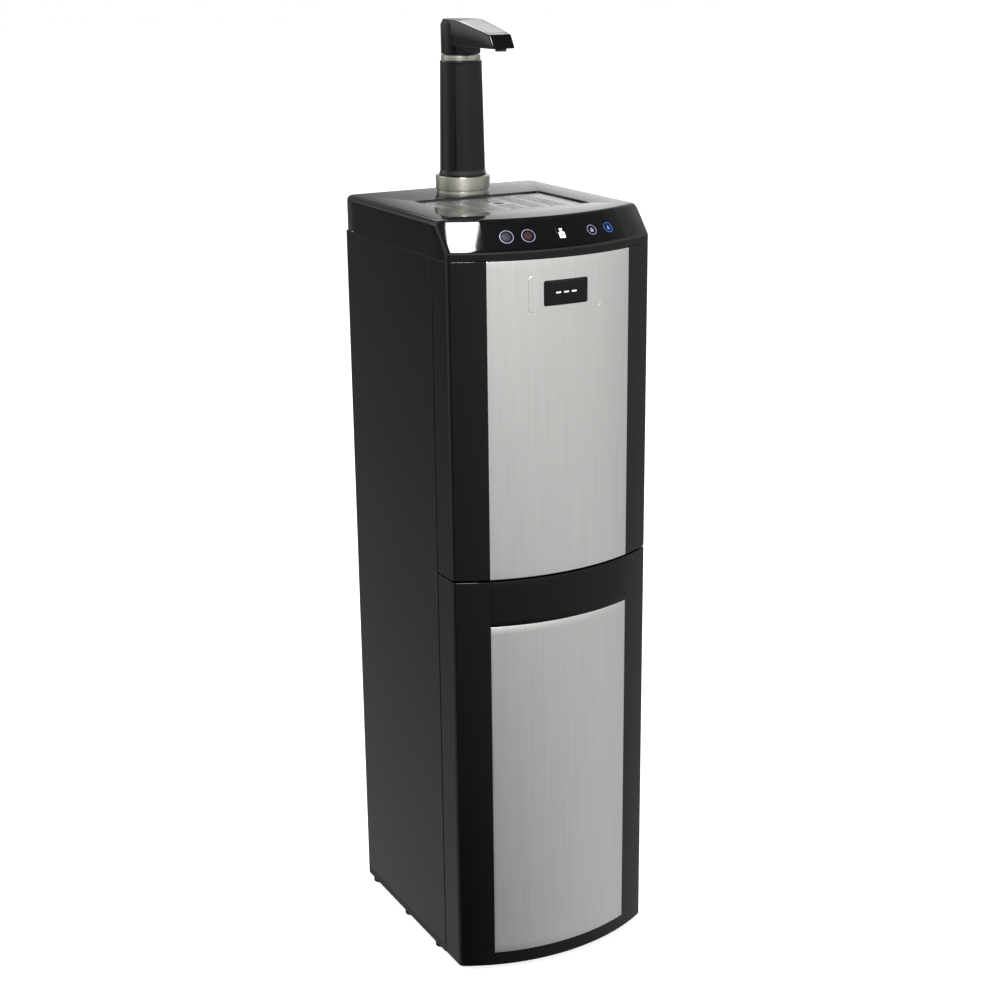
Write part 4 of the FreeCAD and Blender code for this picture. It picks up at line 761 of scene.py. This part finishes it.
RECESS_LIP = .0012
down = [at_height(recess_plan(RECESS_LIP * (1 - math.sin(turn))),
                  COVER_TOP - RECESS_LIP * (1 - math.cos(turn)))
        for turn in np.linspace(0, math.pi / 2, 5)]
recess_floor = COVER_TOP - RECESS_DEPTH
down += [at_height(recess_plan(0), recess_floor + .003), at_height(recess_plan(-.0006), recess_floor + .0008),
         at_height(recess_plan(-.002), recess_floor), at_height(recess_plan(-.03), recess_floor)]
under = [at_height(recess_plan(WALL), COVER_TOP - WALL), at_height(recess_plan(WALL), recess_floor - WALL),
         at_height(recess_plan(-.03), recess_floor - WALL)]
foot = [at_height(level_plan(WALL, WALL, WALL, .006), COVER_FOOT),
        at_height(level_plan(.0006, .0006, .0006, .0084), COVER_FOOT)]
skin = np.concatenate([np.array(under[::-1]), seated_in_slope(inside)[::-1], np.array(foot),
                       seated_in_slope(outside), np.array(down)])
cover = closed_skin("top_cover_moulding", [skin], 30)
fixed(cover, gloss_black, "top_cover")

# ------------------------------------------------------------------ control panel
# A thin gloss black sheet bent to the slope and let into its seat, with four round keys, a lit bottle
# symbol and a circuit board behind it. The rings and symbols on the keys are printed and lit from behind.
button_black = finish("button_black", (.0025, .0025, .003), (.004, .004, .0045), .20, .28, bump=.05, ior=1.4)
panel_black = finish("control_panel_black", (.0028, .0032, .0040), (.0040, .0044, .0052), .05, .08, bump=.004,
                     ior=1.34)
board_green = finish("board_green", (.010, .055, .022), (.02, .10, .04), .30, .5, bump=.1, broad=60)
softened("control_panel", panel_black, .0003)
softened("bottle_light", glass_black, .0003)
smoothed("control_board", board_green)
TILT = math.atan2(SLOPE_BACK, COVER_TOP - SLOPE_FOOT)
BUTTON_PLACE = COVER_TOP - .022
CAP_FOOT, CAP_TOP, CAP_EDGE = -.006, .001, .0005
PRINT_FOOT, PRINT_TOP, PRINT_EDGE = .0006, .00112, .00004
LOCK_PLACE, POUR_PLACE = .048, .077
SLOPE_RADIUS = BOW - (BUTTON_PLACE - SLOPE_FOOT) * SLOPE_BACK / (COVER_TOP - SLOPE_FOOT)


def on_slope(across, up, lift, place):
    """Points given across and up on the slope round a place on it, lifted along the slope's normal. Each
    point turns about the bow's axis by its reach across over the slope's radius."""
    z = BUTTON_PLACE + up * math.cos(TILT) + lift * math.sin(TILT)
    radius = SLOPE_RADIUS - up * math.sin(TILT) + lift * math.cos(TILT)
    swing = math.asin(place / SLOPE_RADIUS) + across / SLOPE_RADIUS
    return np.stack([radius * np.sin(swing), BOW_PLACE - radius * np.cos(swing), z], -1)


def hoop(name, grid):
    """One piece from a grid of points that closes round its rows and round its columns, as a ring does."""
    rows, columns = grid.shape[:2]
    row, column = np.meshgrid(np.arange(rows), np.arange(columns), indexing="ij")
    here, beside = row * columns + column, row * columns + (column + 1) % columns
    above, beyond = (row + 1) % rows * columns + column, (row + 1) % rows * columns + (column + 1) % columns
    faces = np.stack([here, beside, beyond, above], -1).reshape(-1, 4).tolist()
    piece = piece_from(name, grid.reshape(-1, 3).tolist(), faces)
    outward(piece.data)
    return piece


def cap_on_slope(name, outline, place, up, foot, top, edge, ring=None):
    """A flat cap or symbol on the slope: its outline runs from foot to top along the normal, its upper edge
    is rounded, and its face shrinks to the middle. With a ring, the face falls again at that share of the
    outline, so the piece is a flat band round an open middle."""
    reach = np.abs(outline).max()
    rows = [(.02, foot), (1.0, foot)] if ring is None else [(ring, foot), (1.0, foot)]
    rows += [(1 - edge / reach * (1 - math.cos(turn)), top - edge * (1 - math.sin(turn)))
             for turn in np.linspace(0, math.pi / 2, 5)]
    rows += [(.6, top), (.02, top)] if ring is None else [(ring + edge / reach, top), (ring, top - edge)]
    grid = np.array([on_slope(outline[:, 0] * share, outline[:, 1] * share + up, lift, place)
                     for share, lift in rows])
    if ring is None:
        return closed_skin(name, [grid])
    return hoop(name, grid)


def printed(name, outline, place, up=0, ring=None, top=PRINT_TOP):
    """A flat print that stands a hair above a key's face."""
    return cap_on_slope(name, outline, place, up, PRINT_FOOT, top, PRINT_EDGE, ring)


WHOLE_TURN = 2 * math.pi


def circle(radius, columns=56):
    """A circle round the origin."""
    turn = np.linspace(0, WHOLE_TURN, columns, endpoint=False)
    return np.stack([radius * np.cos(turn), radius * np.sin(turn)], 1)


lit_lavender = lit("lit_lavender", (.36, .36, .54), .24)
lit_blue = lit("lit_blue", (.05, .16, .62), .55)
lit_rose = lit("lit_rose", (.034, .006, .009), .18)
lit_night = lit("lit_night", (.007, .010, .026), .18)
DROP = np.array([(0, .0042), (.0013, .0018), (.0024, -.0002), (.0027, -.0016), (.0022, -.0031),
                 (.0010, -.0040), (0, -.0042), (-.0010, -.0040), (-.0022, -.0031), (-.0027, -.0016),
                 (-.0024, -.0002), (-.0013, .0018)])
for key, place, radius, ring_paint, spot in (
        ("cold_button", -POUR_PLACE, .010, lit_lavender, lit_night),
        ("hot_button", -LOCK_PLACE, .010, lit_lavender, lit_rose),
        ("lock_button", LOCK_PLACE, .008, lit_lavender, None),
        ("pour_button", POUR_PLACE, .008, lit_blue, None)):
    cap = cap_on_slope(key + "_cap", circle(radius), place, 0, CAP_FOOT, CAP_TOP, CAP_EDGE)
    fixed(cap, button_black, key)
    added(printed(key + "_ring", circle(radius - .0006), place, ring=.925), ring_paint, key)
    if spot:
        added(printed(key + "_glow", circle(radius * .55), place, top=.00110), spot, key)
added(printed("pour_symbol", DROP * .9, POUR_PLACE), lit_blue, "pour_button")
added(printed("lock_body", lozenge(.0022, .0016, .0004, 3), LOCK_PLACE, -.0012), lit_lavender, "lock_button")
added(printed("lock_shackle", circle(.0019, 24), LOCK_PLACE, .0010, ring=.66), lit_lavender, "lock_button")
for part_name, outline, up in (("bottle_body", lozenge(.0042, .0044, .0010, 3), -.0024),
                               ("bottle_neck", lozenge(.0016, .0016, .0003, 3), .0042),
                               ("bottle_cap", lozenge(.0024, .0007, .0002, 3), .0064)):
    added(cap_on_slope(part_name, outline, 0, up, .0004, .00085, PRINT_EDGE), lit_white, "bottle_light")
mark = cap_on_slope("bottle_mark", DROP * .42, 0, -.0026, PRINT_FOOT, .00095, .00003)
added(mark, glass_black, "bottle_light")

# ------------------------------------------------------------------ drip tray and grille
# A moulded black tray drops into the recess, and a pressed steel grille with three round drains and rows
# of slots lies on its rim. Both lift out by hand.
grille_steel = finish("pressed_grille_steel", (.30, .30, .295), (.46, .46, .45), .24, .34, metallic=1.0,
                      stretch=(160,) * 3, bump=.03, broad=40)
softened("drip_tray", matt_black, .0006)
softened("drip_grille", grille_steel, .0003)

# ------------------------------------------------------------------ tower
# A tapered gloss black column between two turned and plated rings: a wide flange with a groove round its
# foot, screwed to the cover, and a narrow collar that the spout head turns on.
nickel, tree, shader = paint("turned_nickel", (.36, .35, .30), .30, metallic=1.0)
shader.inputs["Anisotropic"].default_value = .85
shader.inputs["Anisotropic Rotation"].default_value = .25
turning = wire(tree, "ShaderNodeGroup", {"Stretch": (12, 12, 5200), "Broad Scale": 30.0, "Detail": 4.0},
               node_tree=uneven)
turned_tone = blend(tree, turning.outputs["Fine"], (.31, .305, .265, 1), (.50, .49, .43, 1))
turned_rough = spread(tree, turning.outputs["Broad"], 0, 1, .25, .36)
turned_lines = wire(tree, "ShaderNodeBump", {"Height": turning.outputs["Fine"], "Strength": .12,
                                             "Distance": SCRATCH_HEIGHT}).outputs[0]
round_axis = wire(tree, "ShaderNodeTangent", direction_type="RADIAL", axis="Z").outputs[0]
for output, socket in ((turned_tone, "Base Color"), (turned_rough, "Roughness"), (turned_lines, "Normal"),
                       (round_axis, "Tangent")):
    tree.links.new(output, shader.inputs[socket])
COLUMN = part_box("tower_column")
FLANGE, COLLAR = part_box("tower_flange"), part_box("tower_collar")
AXIS_Y = (COLUMN[0].y + COLUMN[1].y) / 2


def turned(name, outline, columns=96):
    """A ring turned about the tower's upright axis: its closed section (radius, height, corner radius) has
    its corners rounded and is carried round the axis."""
    section = rounded(outline)
    turn = np.linspace(0, WHOLE_TURN, columns, endpoint=False)[:, None]
    grid = np.stack([section[:, 0] * np.sin(turn), AXIS_Y - section[:, 0] * np.cos(turn),
                     np.broadcast_to(section[:, 1], (columns, len(section)))], -1)
    return hoop(name, grid)


foot, top = FLANGE[0].z, FLANGE[1].z
flange = turned("tower_flange_ring", [
    (.018, foot, 0), (.038, foot, .0004), (.038, foot + .0048, .0003), (.0365, foot + .0052, .0002),
    (.0365, foot + .0062, .0002), (.039, foot + .0068, .0006), (.039, top, .0016), (.018, top, 0)])
fixed(flange, nickel, "tower_flange")
foot, top = COLUMN[0].z, COLUMN[1].z
column = turned("tower_column_shell", [
    (.024, foot, 0), (.0338, foot, .0006), (.0336, foot + .003, .002), (.0324, foot + .0075, .006),
    (.0297, top - .0042, .002), (.0299, top - .0030, .0005), (.0299, top - .0008, .0006), (.0285, top, .0003),
    (.024, top, 0)], columns=128)
fixed(column, gloss_black, "tower_column")
foot, top = COLLAR[0].z, COLLAR[1].z
collar = turned("tower_collar_ring", [(.020, foot, 0), (.028, foot, .0004), (.028, top, .0008),
                                      (.020, top, 0)])
fixed(collar, nickel, "tower_collar")

# ------------------------------------------------------------------ spout head
# A gloss black moulded head that swivels on the collar: a round neck and a tapering arm with a sloped
# top, which carries a thin grey inlay, and a small nozzle under its tip.
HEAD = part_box("spout_head")
NECK_FOOT, HEAD_TOP, TIP = HEAD[0].z, HEAD[1].z, HEAD[0].y
ARM_FOOT = NECK_FOOT + .012
TIP_HALF, ROOT_GAIN, TIP_DROP, TIP_RAKE, TIP_RISE, ARM_ROUND = .0173, .0067, .017, .012, .019, .0022
NECK_RADIUS, NECK_TOP_RADIUS, NECK_CHAMFER = .028, .024, .007


def arm_section(place, width, high, radius=ARM_ROUND, rake=0.0):
    """One upright section of the arm: a rounded rectangle from the arm's foot to its top, which leans back
    by the rake as it rises."""
    outline = rounded([(-width, ARM_FOOT, radius), (width, ARM_FOOT, radius), (width, high, radius),
                       (-width, high, radius)])
    lean = rake * (outline[:, 1] - ARM_FOOT) / TIP_RISE
    return np.stack([outline[:, 0], place + lean, outline[:, 1]], 1)


def arm_grid():
    """The arm as a loft of sections along its length: half width from 17.3 mm at the tip to 24 mm over the
    neck, its top rising in a straight slope; the tip's rim is an arc of small radius."""
    reach, sections = AXIS_Y - TIP, []
    for turn in np.linspace(0, math.pi / 2, 5):
        shrink, start = ARM_ROUND * (1 - math.sin(turn)), ARM_ROUND * (1 - math.cos(turn))
        section = arm_section(TIP + start, TIP_HALF - shrink, HEAD_TOP - TIP_DROP - shrink,
                              ARM_ROUND - shrink * .5, TIP_RAKE)
        section[:, 2] = np.maximum(section[:, 2], ARM_FOOT + shrink)
        sections.append(section)
    for share in np.linspace(.06, .80, 9):
        place = TIP + reach * share
        rake = TIP_RAKE * max(0, 1 - share * 4)
        slope = (place + rake * .9 - (TIP + TIP_RAKE)) / (reach - TIP_RAKE - NECK_TOP_RADIUS)
        high = HEAD_TOP - TIP_DROP * max(0, 1 - max(0, slope))
        sections.append(arm_section(place, TIP_HALF + ROOT_GAIN * share, high, rake=rake))
    for share in (.84, .95):
        width = TIP_HALF + ROOT_GAIN * min(share, .9)
        sections.append(arm_section(TIP + reach * share, width, HEAD_TOP - .0002))
    return np.array(sections)


def neck_grid(columns=96):
    """The neck as a turned solid with a chamfered top, its corners rounded."""
    section = rounded([(0, NECK_FOOT, 0), (NECK_RADIUS, NECK_FOOT, .0018),
                       (NECK_RADIUS, HEAD_TOP - NECK_CHAMFER, .003), (NECK_TOP_RADIUS, HEAD_TOP, .002),
                       (0, HEAD_TOP, 0)], 6)
    section = section[section[:, 0] > 1e-6]
    section = np.concatenate([[(.0004, NECK_FOOT)], section, [(.0004, HEAD_TOP)]])
    turn = np.linspace(0, WHOLE_TURN, columns, endpoint=False)[None]
    return np.stack([section[:, :1] * np.sin(turn), AXIS_Y - section[:, :1] * np.cos(turn),
                     np.broadcast_to(section[:, 1:], (len(section), columns))], -1)


head = closed_skin("spout_head_moulding", [arm_grid(), neck_grid()], 34)
fixed(head, gloss_black, "spout_head")
inlay = finish("head_inlay", (.085, .085, .088), (.12, .12, .123), .30, .38, bump=.03)
softened("spout_top_plate", inlay, .0003)
softened("spout_nozzle", matt_black, .0004)

# ------------------------------------------------------------------ door
# The bottle door: one gloss black moulding with rounded uprights, a stainless sheet let into its face,
# and a gloss strip above it. It swings on two pins on the right.
DOOR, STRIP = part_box("door_frame"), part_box("door_strip")
door = front_shell("door_moulding", DOOR[0].z, DOOR[1].z, DOOR_STEEL[0].z - .0002, DOOR[1].z - .0002)
fixed(door, gloss_black, "door_frame")
low, high = STRIP
strip = slab_on_bow("door_gloss_strip", stops(low.x, high.x, ACROSS_STEPS), stops(low.z, high.z, 9), no_sink,
                    .0011, .0006)
fixed(strip, glass_black, "door_strip")
acetal = finish("white_acetal", (.62, .61, .58), (.72, .71, .68), .35, .45, bump=.05)
magnet_grey = finish("magnet_grey", (.05, .05, .052), (.08, .08, .083), .5, .65, bump=.3)
smoothed("hinge_bushes valve_block probe_holder", acetal, .0004)
smoothed("lower_hinge_bracket upper_hinge_bracket strike_plate", zinc, .0003)
smoothed("door_magnet", magnet_grey, .0003)

# ------------------------------------------------------------------ inner works
# The works above and behind the bay: bare steel tanks, one of them in a foam jacket, a copper evaporator
# coil, the black painted compressor and condenser, and moulded black and white plastic fittings.
tank_steel = brushed("tank_steel", (.45, .45, .45), (.60, .60, .60), .25, .38, fineness=200)
foam = finish("foam_white", (.70, .68, .62), (.82, .80, .75), .75, .9, bump=.6, stretch=(500,) * 3)
copper = finish("copper_tube", (.52, .23, .13), (.72, .36, .22), .24, .42, metallic=1.0, broad=40, bump=.05)
silicone = finish("silicone_tube", (.60, .60, .58), (.74, .74, .72), .3, .42, bump=.05)
smoothed("hot_tank heater_band cold_tank cold_tank_lid", tank_steel, .0004)
smoothed("cold_tank_jacket", foam, .001)
smoothed("evaporator_coil", copper)
smoothed("condenser_coil condenser_wires compressor", rear_black)
smoothed("water_pump power_supply", matt_black, .0004)
smoothed("cold_water_tube hot_water_tube", silicone)

# ------------------------------------------------------------------ bottle probe
# A blue moulded cap on a rigid suction tube of clear plastic, which stands in its holder in the bay.
probe_blue = finish("probe_blue", (.035, .14, .36), (.05, .19, .45), .32, .42, bump=.06)
smoothed("probe_cap", probe_blue, .0005)
smoothed("probe_tube", silicone)
